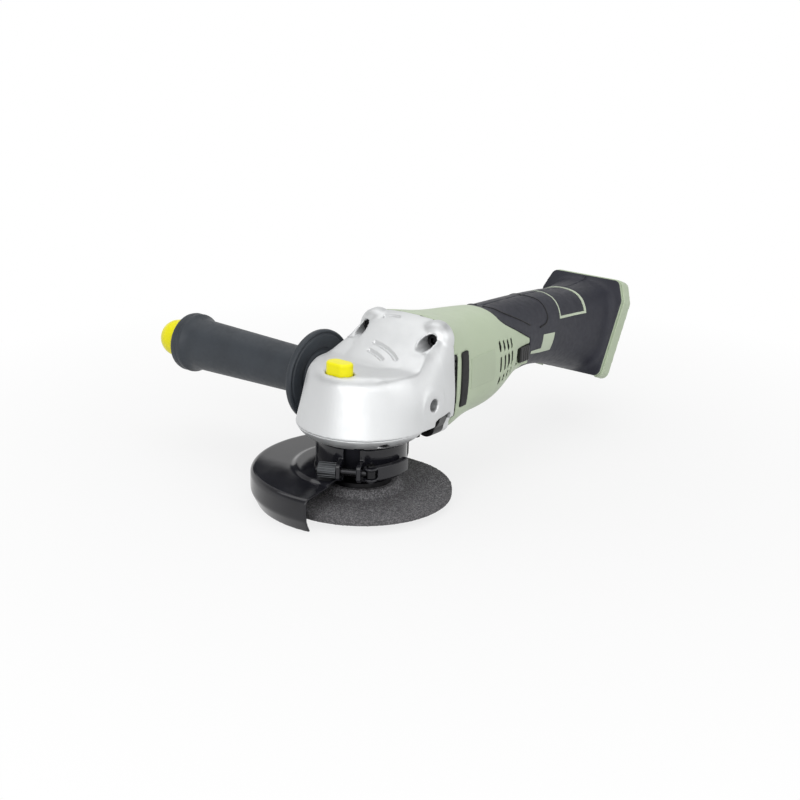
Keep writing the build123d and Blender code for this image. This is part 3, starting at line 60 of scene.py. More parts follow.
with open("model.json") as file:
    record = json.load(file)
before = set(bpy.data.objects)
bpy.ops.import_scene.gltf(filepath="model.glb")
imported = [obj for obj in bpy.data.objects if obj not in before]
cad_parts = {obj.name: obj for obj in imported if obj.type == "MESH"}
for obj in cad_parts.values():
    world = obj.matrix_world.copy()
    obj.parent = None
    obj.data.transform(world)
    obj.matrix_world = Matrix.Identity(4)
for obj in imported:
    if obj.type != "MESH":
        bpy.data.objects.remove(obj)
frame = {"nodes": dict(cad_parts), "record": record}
NODES = frame["nodes"]
CAD_BOX = [list(corner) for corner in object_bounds()]
BODY_OF = {node: body for body, members in frame["record"]["behaviour"]["bodies"].items() for node in members}
MM = 0.001

# Places on the tool, in millimetres
HANDLE_X, HANDLE_Z = 17.6, 63.0
BUTTON_X = -22.0
SPRING_X, SPRING_Y = -23.5, 4.6
EAR_Y, EAR_Z = 25.5, 96.5

# Fixed dark colours of small mouldings; the boot, louvre and vent darks are painted shade
SHADE_BOOT_BLACK = (0.010, 0.010, 0.011)
LOUVRE_SHADE_BLACK = (0.008, 0.008, 0.009)
SOFT_BLACK = (0.012, 0.012, 0.013)
FOOT_BLACK = (0.014, 0.014, 0.015)
LINE_BLACK = (0.004, 0.004, 0.005)
VENT_SHADE_DARK = (0.012, 0.013, 0.011)


def colour_property(name, value, description):
    return FloatVectorProperty(name=name, description=description, subtype="COLOR", size=3, min=0.0, max=1.0,
                               default=value)


def length_property(name, millimetres, description):
    return FloatProperty(name=name, description=description, subtype="DISTANCE", unit="LENGTH", min=0.0,
                         default=millimetres * MM)


class GrinderColours(bpy.types.PropertyGroup):
    """Colours of the finishes, as scene-linear values"""
    casting: colour_property("Casting", (0.66, 0.67, 0.675), "Bead-blasted aluminium of the gear head")
    housing: colour_property("Housing", (0.410, 0.480, 0.345), "Sage green moulding of motor housing and foot")
    guard: colour_property("Guard", (0.009, 0.009, 0.012), "Gloss black coat of guard and clamp")
    grip: colour_property("Grip", (0.021, 0.022, 0.031), "Soft dark rubber of the rear grip")
    handle: colour_property("Handle", (0.034, 0.040, 0.048), "Grey rubber of the side handle")
    accent: colour_property("Accent", (0.80, 0.735, 0.004), "Yellow of the lock button and handle cap")
    inlay: colour_property("Inlay", (0.45, 0.51, 0.39), "Pale lines and inlays of the grip")
    wheel: colour_property("Wheel", (0.190, 0.187, 0.196), "Bonded abrasive grain")
    adjuster: colour_property("Adjuster", (0.075, 0.078, 0.082), "Knurled nut of the guard clamp")


class GrinderSizes(bpy.types.PropertyGroup):
    """Sizes of the moulded edges and small fittings"""
    casting_voxel: length_property("Casting voxel", 0.75, "Fineness of the casting's rounded skin")
    plastic_voxel: length_property("Plastic voxel", 0.8, "Fineness of the moulded housing's skin")
    small_voxel: length_property("Small voxel", 0.35, "Fineness of small moulded pieces")
    wheel_voxel: length_property("Wheel voxel", 0.62, "Fineness of the grinding wheel's skin")
    guard_voxel: length_property("Guard voxel", 0.6, "Fineness of the guard's sheet")
    collar_voxel: length_property("Collar voxel", 0.45, "Fineness of the guard's collar")
    cap_voxel: length_property("Cap voxel", 0.5, "Fineness of the handle's cap")
    mark_width: length_property("Mark width", 1.8, "Half width of the cast marks on the gear head")
    mark_depth: length_property("Mark depth", 1.3, "Depth of the cast marks on the gear head")
    line_radius: length_property("Line radius", 0.7, "Half width of the dark lines on the rear grip")
    grain_depth: length_property("Grain depth", 0.35, "How far the abrasive grain stands out")


class GrinderStage(bpy.types.PropertyGroup):
    """Camera and lamps"""
    azimuth: FloatProperty(name="Azimuth", description="Turn of the camera round the tool", subtype="ANGLE",
                           default=math.radians(-52.51))
    elevation: FloatProperty(name="Elevation", description="Height angle of the camera", subtype="ANGLE",
                             default=math.radians(18.11))
    roll: FloatProperty(name="Roll", description="Turn of the camera about its own axis", subtype="ANGLE",
                        default=math.radians(1.6))
    place: FloatVectorProperty(name="Place", description="Where the camera stands", subtype="TRANSLATION",
                               size=3, default=(-0.6366, -0.5176, 0.3304))
    lens: FloatProperty(name="Lens", description="Focal length on a 36 mm sensor", unit="CAMERA", default=63.0)
    floor_drop: length_property("Floor drop", 0.5, "Gap between the lowest point and the floor")
    sky: FloatProperty(name="Sky", description="Strength of the even light from all round", default=0.55)
    ceiling: FloatProperty(name="Ceiling", description="Brightness of the ceiling in reflections", default=0.34)


# Selecting, modelling and placing


def only(obj):
    """Selects one object and makes it active."""
    bpy.ops.object.select_all(action="DESELECT")
    obj.select_set(True)
    bpy.context.view_layer.objects.active = obj


def shape(obj, kind, **settings):
    """Adds one modifier and applies it."""
    only(obj)
    bpy.ops.object.modifier_add(type=kind)
    modifier = obj.modifiers[-1]
    for key, value in settings.items():
        setattr(modifier, key, value)
    bpy.ops.object.modifier_apply(modifier=modifier.name)


def mend(obj, merge=0.0, face_out=True):
    """Merges the points of a mesh that lie together and points its faces outwards."""
    only(obj)
    bpy.ops.object.mode_set(mode="EDIT")
    bpy.ops.mesh.select_all(action="SELECT")
    if merge:
        bpy.ops.mesh.remove_doubles(threshold=merge)
    if face_out:
        bpy.ops.mesh.normals_make_consistent(inside=False)
    bpy.ops.object.mode_set(mode="OBJECT")


def shade(obj, degrees):
    """Smooth shading that keeps the edges sharper than an angle."""
    only(obj)
    bpy.ops.object.shade_smooth_by_angle(angle=math.radians(degrees))


def bevel(obj, width, segments, degrees):
    """Rounds the edges sharper than an angle."""
    shape(obj, "BEVEL", width=width, segments=segments, limit_method="ANGLE", angle_limit=math.radians(degrees))


def twin(node, name):
    """A merged copy of a CAD node, free to be shaped."""
    obj = bpy.data.objects.new(name, NODES[node].data.copy())
    bpy.context.scene.collection.objects.link(obj)
    obj.data.materials.clear()
    only(obj)
    bpy.ops.mesh.customdata_custom_splitnormals_clear()
    mend(obj, 2e-6, face_out=False)
    return obj


def mould(obj, voxel, rounds):
    """Gives a solid a fine even skin with softly rounded edges."""
    shape(obj, "REMESH", mode="VOXEL", voxel_size=voxel, adaptivity=0.0)
    shape(obj, "SMOOTH", factor=0.5, iterations=rounds)
    only(obj)
    bpy.ops.object.shade_smooth()


def cut(obj, cutter, operation="DIFFERENCE"):
    """Takes a cutter out of a solid, or keeps only what both hold, and removes the cutter."""
    shape(obj, "BOOLEAN", operation=operation, solver="EXACT", object=cutter)
    bpy.data.objects.remove(cutter)


def dress(obj, material):
    """Gives a piece its one material."""
    obj.data.materials.clear()
    obj.data.materials.append(material)


def stand_for(obj, material, *nodes):
    """Finishes a piece that takes the place of CAD nodes."""
    dress(obj, material)
    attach(obj, BODY_OF[nodes[0]])
    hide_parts(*nodes)


def add_to(obj, material, node):
    """Finishes a new piece that belongs to a CAD node's body."""
    dress(obj, material)
    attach(obj, BODY_OF[node])


def tube(name, points, radius):
    """A round bar along points given in millimetres, as a mesh, with its radius in metres."""
    bpy.ops.object.select_all(action="DESELECT")
    bpy.ops.curve.primitive_nurbs_path_add(radius=1.0, location=(0, 0, 0))
    obj = bpy.context.object
    obj.name = name
    curve = obj.data
    curve.splines.clear()
    spline = curve.splines.new("NURBS")
    spline.points.add(len(points) - 1)
    for spot, point in zip(spline.points, points):
        spot.co = (*(Vector(point) * MM), 1.0)
    spline.order_u = 3
    spline.use_endpoint_u = True
    curve.resolution_u = 6
    curve.bevel_depth = radius
    curve.bevel_resolution = 3
    curve.use_fill_caps = True
    only(obj)
    bpy.ops.object.convert(target="MESH")
    obj = bpy.context.object
    mend(obj, 1e-6)
    bpy.ops.object.shade_smooth()
    return obj


def block(name, low, high):
    """A box between two corners, in millimetres."""
    low, high = Vector(low), Vector(high)
    bpy.ops.object.select_all(action="DESELECT")
    bpy.ops.mesh.primitive_cube_add(size=1.0, location=(low + high) / 2 * MM, scale=(high - low) * MM)
    obj = bpy.context.object
    obj.name = name
    bpy.ops.object.transform_apply(location=True, rotation=True, scale=True)
    return obj


def slot_block(name, centre, radius, low, high, reach=0.0):
    """An upright round bar, drawn out across the tool by a reach to each side, in millimetres."""
    x, y = centre
    bpy.ops.object.select_all(action="DESELECT")
    bpy.ops.mesh.primitive_cylinder_add(vertices=64, radius=radius * MM, depth=(high - low) * MM,
                                        location=Vector((x, y, (low + high) / 2)) * MM)
    obj = bpy.context.object
    obj.name = name
    bpy.ops.object.transform_apply(location=True, rotation=True, scale=True)
    sculpt(obj, lambda place, normal: place + Vector((0.0, math.copysign(reach, place.y - y), 0.0)))
    return obj


def turned_y(name, centre, profile, steps=128):
    """A solid of revolution about the side handle's axis: places along it and radii, in millimetres."""
    spots = [(radius * MM, along * MM, 0.0) for along, radius in profile]
    outline = bpy.data.meshes.new(name)
    outline.from_pydata(spots, [(i, i + 1) for i in range(len(spots) - 1)], [])
    obj = bpy.data.objects.new(name, outline)
    bpy.context.scene.collection.objects.link(obj)
    shape(obj, "SCREW", axis="Y", steps=steps, render_steps=steps, use_merge_vertices=True,
          merge_threshold=1e-6)
    mend(obj, 1e-6)
    obj.location = Vector(centre) * MM
    bpy.ops.object.transform_apply(location=True, rotation=True, scale=True)
    return obj


def sculpt(obj, move):
    """Moves each vertex to where a function of its place and normal puts it, in millimetres."""
    states = [(vertex.co / MM, vertex.normal.copy()) for vertex in obj.data.vertices]
    for vertex, (place, normal) in zip(obj.data.vertices, states):
        vertex.co = move(place, normal) * MM
    obj.data.update()


def soften(obj, inside, rounds):
    """Smooths only the part of a skin that a test picks out."""
    group = obj.vertex_groups.new(name="soft")
    group.add([v.index for v in obj.data.vertices if inside(v.co / MM, v.normal)], 1.0, "REPLACE")
    shape(obj, "SMOOTH", factor=0.5, iterations=rounds, vertex_group=group.name)
    obj.vertex_groups.clear()


def groove(obj, points, half_width, depth):
    """Presses a rounded furrow into a skin along points in millimetres."""
    spots = []
    for first, second in zip(points, points[1:]):
        spots += [Vector(first).lerp(Vector(second), share / 12) for share in range(13)]
    tree = KDTree(len(spots))
    for index, spot in enumerate(spots):
        tree.insert(spot, index)
    tree.balance()
    only(obj)
    bpy.ops.object.mode_set(mode="EDIT")
    bpy.ops.mesh.select_mode(type="VERT")
    bpy.ops.mesh.select_all(action="DESELECT")
    bpy.ops.object.mode_set(mode="OBJECT")
    for vertex in obj.data.vertices:
        vertex.select = tree.find(vertex.co / MM)[2] < 2.2 * half_width + 1.2
    bpy.ops.object.mode_set(mode="EDIT")
    bpy.ops.mesh.subdivide(number_cuts=1, smoothness=0.0)
    bpy.ops.object.mode_set(mode="OBJECT")

    def press(place, normal):
        away = place - tree.find(place)[0]
        across = (away - normal * away.dot(normal)).length / half_width
        if across >= 1.0 or abs(away.dot(normal)) > 4.0:
            return place
        return place - normal * depth * (1.0 - across ** 2) ** 1.5
    sculpt(obj, press)


def plate(name, corners, target, side, proud, columns=24, rows=18):
    """A thin plate laid on a skin from one side, through four corners in x and z, in millimetres."""
    bpy.ops.object.select_all(action="DESELECT")
    bpy.ops.mesh.primitive_grid_add(x_subdivisions=columns, y_subdivisions=rows, size=1.0, location=(0, 0, 0))
    obj = bpy.context.object
    obj.name = name
    bpy.context.view_layer.update()
    low_front, low_back, high_back, high_front = (Vector((x, 0.0, z)) for x, z in corners)

    def lay(place, normal):
        along, up = place.x * MM + 0.5, place.y * MM + 0.5
        spot = low_front.lerp(low_back, along).lerp(high_front.lerp(high_back, along), up)
        found, where, _, _ = target.ray_cast((spot.x * MM, side * 0.1, spot.z * MM), (0.0, -side, 0.0))
        if not found:
            raise RuntimeError(f"{name} misses its surface")
        return Vector((spot.x, where.y / MM, spot.z))
    sculpt(obj, lay)
    shape(obj, "SMOOTH", factor=0.5, iterations=4)
    shape(obj, "SOLIDIFY", thickness=2.0 * proud, offset=0.0)
    bevel(obj, 0.45 * proud, 2, 50)
    mend(obj)
    shade(obj, 45)
    return obj


def join(first, *others):
    """Makes several objects one."""
    only(first)
    for other in others:
        other.select_set(True)
    bpy.ops.object.join()
    return first


# Materials


class Finish:
    """A Principled material whose patterns read Object coordinates."""

    def __init__(self, name, colour, roughness, metallic=0.0):
        self.material = bpy.data.materials.new(name)
        self.material.use_nodes = True
        self.tree = self.material.node_tree
        self.shader = self.tree.nodes["Principled BSDF"]
        self.place = self.tree.nodes.new("ShaderNodeTexCoord").outputs["Object"]
        self.shader.inputs["Base Color"].default_value = (*colour, 1.0)
        self.shader.inputs["Roughness"].default_value = roughness
        self.shader.inputs["Metallic"].default_value = metallic
        self.colour = colour
        self.roughness = roughness

    def node(self, kind, **inputs):
        """Adds a node and sets or links its inputs by name."""
        made = self.tree.nodes.new(kind)
        for key, value in inputs.items():
            socket = made.inputs[key.replace("_", " ")]
            if isinstance(value, bpy.types.NodeSocket):
                self.tree.links.new(value, socket)
            else:
                socket.default_value = value
        return made

    def join(self, output, socket):
        """Links two sockets."""
        self.tree.links.new(output, socket)

    def stretched(self, scale):
        """The coordinates, stretched along each axis."""
        return self.node("ShaderNodeMapping", Vector=self.place, Scale=scale).outputs["Vector"]

    def noise(self, scale, detail=3.0, rough=0.55, vector=None):
        made = self.node("ShaderNodeTexNoise", Vector=vector or self.place, Scale=scale, Detail=detail,
                         Roughness=rough)
        return made.outputs["Fac"]

    def cells(self, scale, feature="F1", output="Distance"):
        made = self.node("ShaderNodeTexVoronoi", Vector=self.place, Scale=scale)
        made.feature = feature
        return made.outputs[output]

    def spread(self, value, low, high, from_low=0.3, from_high=0.7):
        """Maps one range of a value to another."""
        made = self.node("ShaderNodeMapRange", Value=value)
        for index, number in ((1, from_low), (2, from_high), (3, low), (4, high)):
            made.inputs[index].default_value = number
        return made.outputs["Result"]

    def mix(self, share, first, second):
        """Blends two colours by a share."""
        made = self.tree.nodes.new("ShaderNodeMix")
        made.data_type = "RGBA"
        sockets = [s for s in made.inputs if s.type == "RGBA"]
        self.join(share, made.inputs["Factor"])
        for socket, value in zip(sockets, (first, second)):
            if isinstance(value, bpy.types.NodeSocket):
                self.join(value, socket)
            else:
                socket.default_value = (*value, 1.0)
        return [s for s in made.outputs if s.type == "RGBA"][0]

    def mottle(self, scale, amount):
        """Slow drift of the colour, lighter and darker."""
        low = [channel * (1 - amount) for channel in self.colour]
        high = [min(1.0, channel * (1 + amount)) for channel in self.colour]
        self.tint = self.mix(self.spread(self.noise(scale), 0, 1), low, high)
        self.join(self.tint, self.shader.inputs["Base Color"])
        return self

    def uneven(self, scale, amount):
        """Roughness that varies over the surface."""
        value = self.spread(self.noise(scale, 4.0), self.roughness - amount, self.roughness + amount)
        self.join(value, self.shader.inputs["Roughness"])
        return self

    def bump(self, height, strength, distance):
        """Adds relief on top of the relief already there."""
        made = self.node("ShaderNodeBump", Height=height, Strength=strength, Distance=distance)
        previous = self.shader.inputs["Normal"]
        if previous.is_linked:
            self.join(previous.links[0].from_socket, made.inputs["Normal"])
        self.join(made.outputs["Normal"], previous)
        return self

    def grain(self, scale, strength, distance=0.0002):
        """Adds fine relief from noise."""
        return self.bump(self.noise(scale, 2.0, 0.6), strength, distance)

    def dull(self, level):
        """Lowers the mirror-like part of the shine."""
        self.shader.inputs["Specular IOR Level"].default_value = level
        return self

    def axis(self, name):
        """One coordinate of the surface, in metres."""
        parts = self.node("ShaderNodeSeparateXYZ", Vector=self.place)
        return parts.outputs[name]


def cast_finish(name, colour):
    """Bead-blasted cast metal."""
    made = Finish(name, colour, 0.5, 0.9)
    made.mottle(35.0, 0.035).uneven(140.0, 0.07)
    made.grain(2600.0, 0.10, 0.00012).grain(420.0, 0.05, 0.0004)
    return made


def plastic_finish(name, colour, roughness=0.42, drift=0.04):
    """Finely grained moulded plastic."""
    made = Finish(name, colour, roughness)
    made.mottle(28.0, drift).uneven(220.0, 0.05)
    made.grain(3200.0, 0.10, 0.0001)
    return made


def rubber_finish(name, colour, roughness=0.62):
    """Soft rubber with a fine pebble."""
    made = Finish(name, colour, roughness)
    made.mottle(45.0, 0.12).uneven(300.0, 0.07)
    made.bump(made.cells(1900.0), 0.12, 0.00015)
    made.grain(700.0, 0.05, 0.0002)
    return made.dull(0.32)


def coated_finish(name, colour):
    """A gloss coat over sheet steel."""
    made = Finish(name, colour, 0.13)
    made.mottle(60.0, 0.25).uneven(90.0, 0.05)
    made.grain(500.0, 0.025, 0.0004).grain(90.0, 0.02, 0.001)
    return made.dull(0.45)


def steel_finish(name, colour, roughness=0.3, streak=(400.0, 400.0, 6000.0)):
    """Machined metal with fine tool marks."""
    made = Finish(name, colour, roughness, 1.0)
    made.mottle(120.0, 0.08).uneven(600.0, 0.08)
    made.bump(made.noise(1.0, 2.0, 0.5, made.stretched(streak)), 0.08, 0.0001)
    return made


def abrasive_finish(name, colour):
    """Bonded grain, a little darker round the rim."""
    made = Finish(name, colour, 0.82)
    grains = made.cells(1500.0, "F1", "Color")
    pick = made.node("ShaderNodeSeparateColor", Color=grains).outputs["Red"]
    worn = (colour[0] * 0.80, colour[1] * 0.78, colour[2] * 0.78)
    dark = [channel * 0.32 for channel in colour]
    edge = made.mix(made.spread(pick, 0.0, 1.0, 0.45, 1.0), dark, worn)
    face = made.mix(made.spread(pick, 0.0, 1.0, 0.35, 0.95), dark, colour)
    radius = made.node("ShaderNodeVectorMath", Vector=made.stretched((1.0, 1.0, 0.0)))
    radius.operation = "LENGTH"
    rim = made.spread(radius.outputs["Value"], 0.0, 1.0, 0.0562, 0.0574)
    made.join(made.mix(rim, face, edge), made.shader.inputs["Base Color"])
    made.bump(made.cells(1500.0), 0.5, 0.0004)
    made.grain(4200.0, 0.3, 0.0002)
    return made


def put_on_nodes(finish, *nodes):
    """Gives CAD nodes a finish."""
    for node in nodes:
        obj = NODES[node]
        for place in obj.material_slots:
            place.material = finish.material
        if not obj.material_slots:
            obj.data.materials.append(finish.material)


# Steps, one for each part of the tool


class GRINDER_OT_casting(bpy.types.Operator):
    """Rounds the gear head casting, cuts its cast marks and fills its lower screw pockets with black pieces as
    painted shade
    """
    bl_idname = "grinder.casting"
    bl_label = "Gear head casting"

    MARKS = (
        ((19.6, 7.2, 93.3), (18.9, 1.6, 92.6), (17.2, -4.9, 91.5), (14.9, -11.0, 90.0), (12.4, -15.4, 88.4)),
        ((13.8, 6.6, 89.6), (12.6, 1.5, 88.9), (11.2, -2.9, 88.1), (9.4, -7.0, 87.2)),
        ((38.4, 14.2, 105.2), (39.7, 9.6, 105.9), (40.0, 4.4, 106.1)),
    )
    CHEEK_X, CHEEK_Z = 15.0, 60.0
    CHEEK_WIDTH, CHEEK_LIMIT = 42.2, 42.7
    FADE_START, FADE_LENGTH = -24.0, 26.0
    # Size of the black corner pieces that paint the shade of the lower screw pockets
    BOOT_TOP, BOOT_BACK, BOOT_INNER = 51.8, 41.0, 22.0
    SHADE_BOOT_GAP = 0.2
    WELL_RADIUS, WELL_FLOOR, WELL_REACH = 6.1, 74.3, 3.5

    def cheek(self, place, normal):
        """Fills the sides out to the handle boss in one broad curve."""
        side = 1.0 if place.y > 0 else -1.0
        out = place.y * side
        bore = math.hypot(place.x - HANDLE_X, place.z - HANDLE_Z)
        if out < 24.0 or normal.y * side < 0.05 or bore < 5.6 or not 48.0 < place.z < 96.0:
            return place
        run, rise = place.x - self.CHEEK_X, place.z - self.CHEEK_Z
        fall_along = 0.0062 if run > 0 else 0.0045
        fall_up = 0.011 if rise > 0 else 0.004
        target = self.CHEEK_WIDTH - fall_along * run ** 2 - fall_up * rise ** 2
        blend = 0.5 * (out + target + math.hypot(out - target, 3.0)) - 0.35
        fade = min(max((place.x - self.FADE_START) / self.FADE_LENGTH, 0.0), 1.0)
        fade *= fade * (3.0 - 2.0 * fade)
        wide = min(out + fade * max(blend - out, 0.0), self.CHEEK_LIMIT)
        return Vector((place.x, side * wide, place.z))

    def broad(self, place, normal):
        """The outer skin away from the bores and the button."""
        out = abs(place.y)
        ear = math.hypot(out - EAR_Y, place.z - EAR_Z)
        bore = math.hypot(place.x - HANDLE_X, place.z - HANDLE_Z)
        if ear < 7.0 or bore < 6.5 or (abs(place.x - BUTTON_X) < 12.0 and out < 8.5):
            return False
        return place.z > 51.5 and place.x < 44.5 and (normal.z > -0.3 if place.z > 76.0 else out > 28.0)

    def shoulder(self, place, normal):
        """Where the flat top of the nose turns down into the sides."""
        return (self.broad(place, normal) and -14.0 < place.x < 30.0 and abs(place.y) > 22.0
                and place.z > 68.0)

    def execute(self, context):
        sizes = context.scene.grinder_sizes
        finish = cast_finish("cast aluminium", context.scene.grinder_colours.casting)
        head = twin("gear_housing", "gear_head")
        # Black pieces fill the open lower screw pockets: their black is painted shade, standing in for the
        # shadow in these recesses
        shade_boots = twin("gear_housing", "corner_shade_boots")
        inner, back, top = self.BOOT_INNER, self.BOOT_BACK, self.BOOT_TOP
        cut(shade_boots, block("corner", (30.0, -60.0, 30.0), (back, 60.0, top)), "INTERSECT")
        cut(shade_boots, block("middle", (20.0, -inner, 20.0), (60.0, inner, 60.0)))
        mould(shade_boots, sizes.small_voxel, 4)
        add_to(shade_boots, plastic_finish("boot shade black", SHADE_BOOT_BLACK, 0.42, 0.1).material, "gear_housing")
        for side in (-1, 1):
            low, high = sorted((side * (inner - self.SHADE_BOOT_GAP), side * 60.0))
            cut(head, block("corner", (20.0, low, 20.0), (back + self.SHADE_BOOT_GAP, high, top + self.SHADE_BOOT_GAP)))
        cut(head, slot_block("well", (BUTTON_X, 0.0), self.WELL_RADIUS, self.WELL_FLOOR, 95.0, self.WELL_REACH))
        mould(head, sizes.casting_voxel, 3)
        sculpt(head, self.cheek)
        soften(head, self.broad, 30)
        soften(head, self.shoulder, 70)
        for points in self.MARKS:
            groove(head, points, sizes.mark_width / MM, sizes.mark_depth / MM)
        only(head)
        bpy.ops.object.shade_smooth()
        stand_for(head, finish.material, "gear_housing")
        return {"FINISHED"}


class GRINDER_OT_cover(bpy.types.Operator):
    """Rounds the bearing cover, bright above and dark on the guard's neck"""
    bl_idname = "grinder.cover"
    bl_label = "Bearing cover"

    def execute(self, context):
        colours = context.scene.grinder_colours
        finish = cast_finish("cast cover", colours.casting)
        low = finish.spread(finish.axis("Z"), 1.0, 0.0, 0.0392, 0.0394)
        finish.join(finish.mix(low, finish.tint, colours.guard), finish.shader.inputs["Base Color"])
        cover = twin("bearing_cover", "cover")
        mould(cover, context.scene.grinder_sizes.small_voxel * 1.6, 3)
        stand_for(cover, finish.material, "bearing_cover")
        return {"FINISHED"}


class GRINDER_OT_screws(bpy.types.Operator):
    """Gives the screws a dark oxide finish"""
    bl_idname = "grinder.screws"
    bl_label = "Screws"

    def execute(self, context):
        finish = steel_finish("black oxide", (0.018, 0.018, 0.019), 0.34)
        for node in ("housing_screws", "cover_screws", "grip_screws"):
            obj = twin(node, node.replace("_", "-"))
            bevel(obj, 0.3 * MM, 3, 40)
            shade(obj, 35)
            stand_for(obj, finish.material, node)
        return {"FINISHED"}


class GRINDER_OT_wheel(bpy.types.Operator):
    """Roughens the grinding wheel with real grain and finishes its mounting, with painted shade on the inner
    flange
    """
    bl_idname = "grinder.wheel"
    bl_label = "Grinding wheel"

    def execute(self, context):
        sizes = context.scene.grinder_sizes
        finish = abrasive_finish("bonded abrasive", context.scene.grinder_colours.wheel)
        wheel = twin("grinding_wheel", "wheel")
        mould(wheel, sizes.wheel_voxel, 2)
        coarse = bpy.data.textures.new("grain", "VORONOI")
        coarse.noise_scale = 1.0 * MM
        fine = bpy.data.textures.new("grit", "CLOUDS")
        fine.noise_scale = 0.9 * MM
        depth = sizes.grain_depth
        shape(wheel, "DISPLACE", texture=coarse, texture_coords="LOCAL", strength=-depth, mid_level=0.3)
        shape(wheel, "DISPLACE", texture=fine, texture_coords="LOCAL", strength=depth * 0.5, mid_level=0.5)
        stand_for(wheel, finish.material, "grinding_wheel")
        bright = steel_finish("turned steel", (0.50, 0.50, 0.51), 0.28, (300.0, 300.0, 5000.0))
        put_on_nodes(bright, "wheel_bushing", "lock_nut", "spindle")
        # The inner flange's near-black steel is painted shade, standing in for the shadow under the gear head
        dark = steel_finish("flange steel shade", (0.05, 0.05, 0.052), 0.36)
        put_on_nodes(dark, "inner_flange")
        return {"FINISHED"}


class GRINDER_OT_guard(bpy.types.Operator):
    """Rounds the guard's sheet edges and gives it a gloss black coat"""
    bl_idname = "grinder.guard"
    bl_label = "Guard"

    def execute(self, context):
        sizes = context.scene.grinder_sizes
        finish = coated_finish("black coat", context.scene.grinder_colours.guard)
        guard = twin("guard_shell", "guard")
        mould(guard, sizes.guard_voxel, 3)
        stand_for(guard, finish.material, "guard_shell")
        collar = twin("guard_collar", "collar")
        mould(collar, sizes.collar_voxel, 3)
        stand_for(collar, finish.material, "guard_collar")
        return {"FINISHED"}


class GRINDER_OT_clamp(bpy.types.Operator):
    """Finishes the guard's clamp lever, screw and knurled adjuster"""
    bl_idname = "grinder.clamp"
    bl_label = "Guard clamp"

    def execute(self, context):
        colours = context.scene.grinder_colours
        black = coated_finish("clamp coat", colours.guard)
        lever = twin("clamp_lever", "lever")
        mould(lever, context.scene.grinder_sizes.small_voxel, 3)
        stand_for(lever, black.material, "clamp_lever")
        oxide = steel_finish("clamp oxide", (0.03, 0.03, 0.032), 0.3)
        put_on_nodes(oxide, "clamp_screw", "lever_pin")
        put_on_nodes(steel_finish("adjuster steel", colours.adjuster, 0.38), "clamp_adjuster")
        return {"FINISHED"}


class GRINDER_OT_button(bpy.types.Operator):
    """Rounds the spindle lock button and hollows it over its springs"""
    bl_idname = "grinder.button"
    bl_label = "Spindle lock"

    RECESS_RADIUS, RECESS_TOP = 2.7, 83.7

    def execute(self, context):
        yellow = context.scene.grinder_colours.accent
        finish = plastic_finish("yellow moulding", yellow, 0.34, 0.02).dull(0.25)
        button = twin("lock_button", "button")
        mould(button, context.scene.grinder_sizes.small_voxel, 5)
        for side in (-SPRING_Y, SPRING_Y):
            cut(button, slot_block("recess", (SPRING_X, side), self.RECESS_RADIUS, 70.0, self.RECESS_TOP))
        shade(button, 40)
        stand_for(button, finish.material, "lock_button")
        return {"FINISHED"}


# The motor housing's squared oval, in millimetres: place along x, height of its centre, half width,
# half height and squareness
BODY_FORM = (
    (47.0, 70.5, 35.5, 37.5, 4.0), (62.0, 69.5, 35.0, 36.0, 3.2), (85.0, 68.5, 34.0, 34.0, 2.6),
    (110.0, 68.0, 32.0, 32.5, 2.3), (130.0, 70.0, 27.5, 28.5, 2.2), (152.0, 72.5, 24.5, 25.5, 2.2),
)


def outward(place):
    """The direction straight out of the motor housing's skin at a point in millimetres."""
    lower, upper = BODY_FORM[-2:]
    for first, second in zip(BODY_FORM, BODY_FORM[1:]):
        if place.x < second[0]:
            lower, upper = first, second
            break
    share = min(max((place.x - lower[0]) / (upper[0] - lower[0]), 0.0), 1.0)
    _, centre, wide, high, square = (a + (b - a) * share for a, b in zip(lower, upper))
    across, up = place.y / wide, (place.z - centre) / high
    slope = Vector((0.0, math.copysign(abs(across) ** (square - 1.0) / wide, across),
                    math.copysign(abs(up) ** (square - 1.0) / high, up)))
    return slope.normalized()


def mark_inside_shade(obj):
    """Stores which vertices face away from the outside, so that vents and inner walls can be darkened with
    painted shade.
    """
    layer = obj.data.attributes.new("inside", "FLOAT", "POINT")
    for vertex, value in zip(obj.data.vertices, layer.data):
        facing = vertex.normal.dot(outward(vertex.co / MM))
        value.value = min(max((0.62 - facing) / 0.3, 0.0), 1.0)


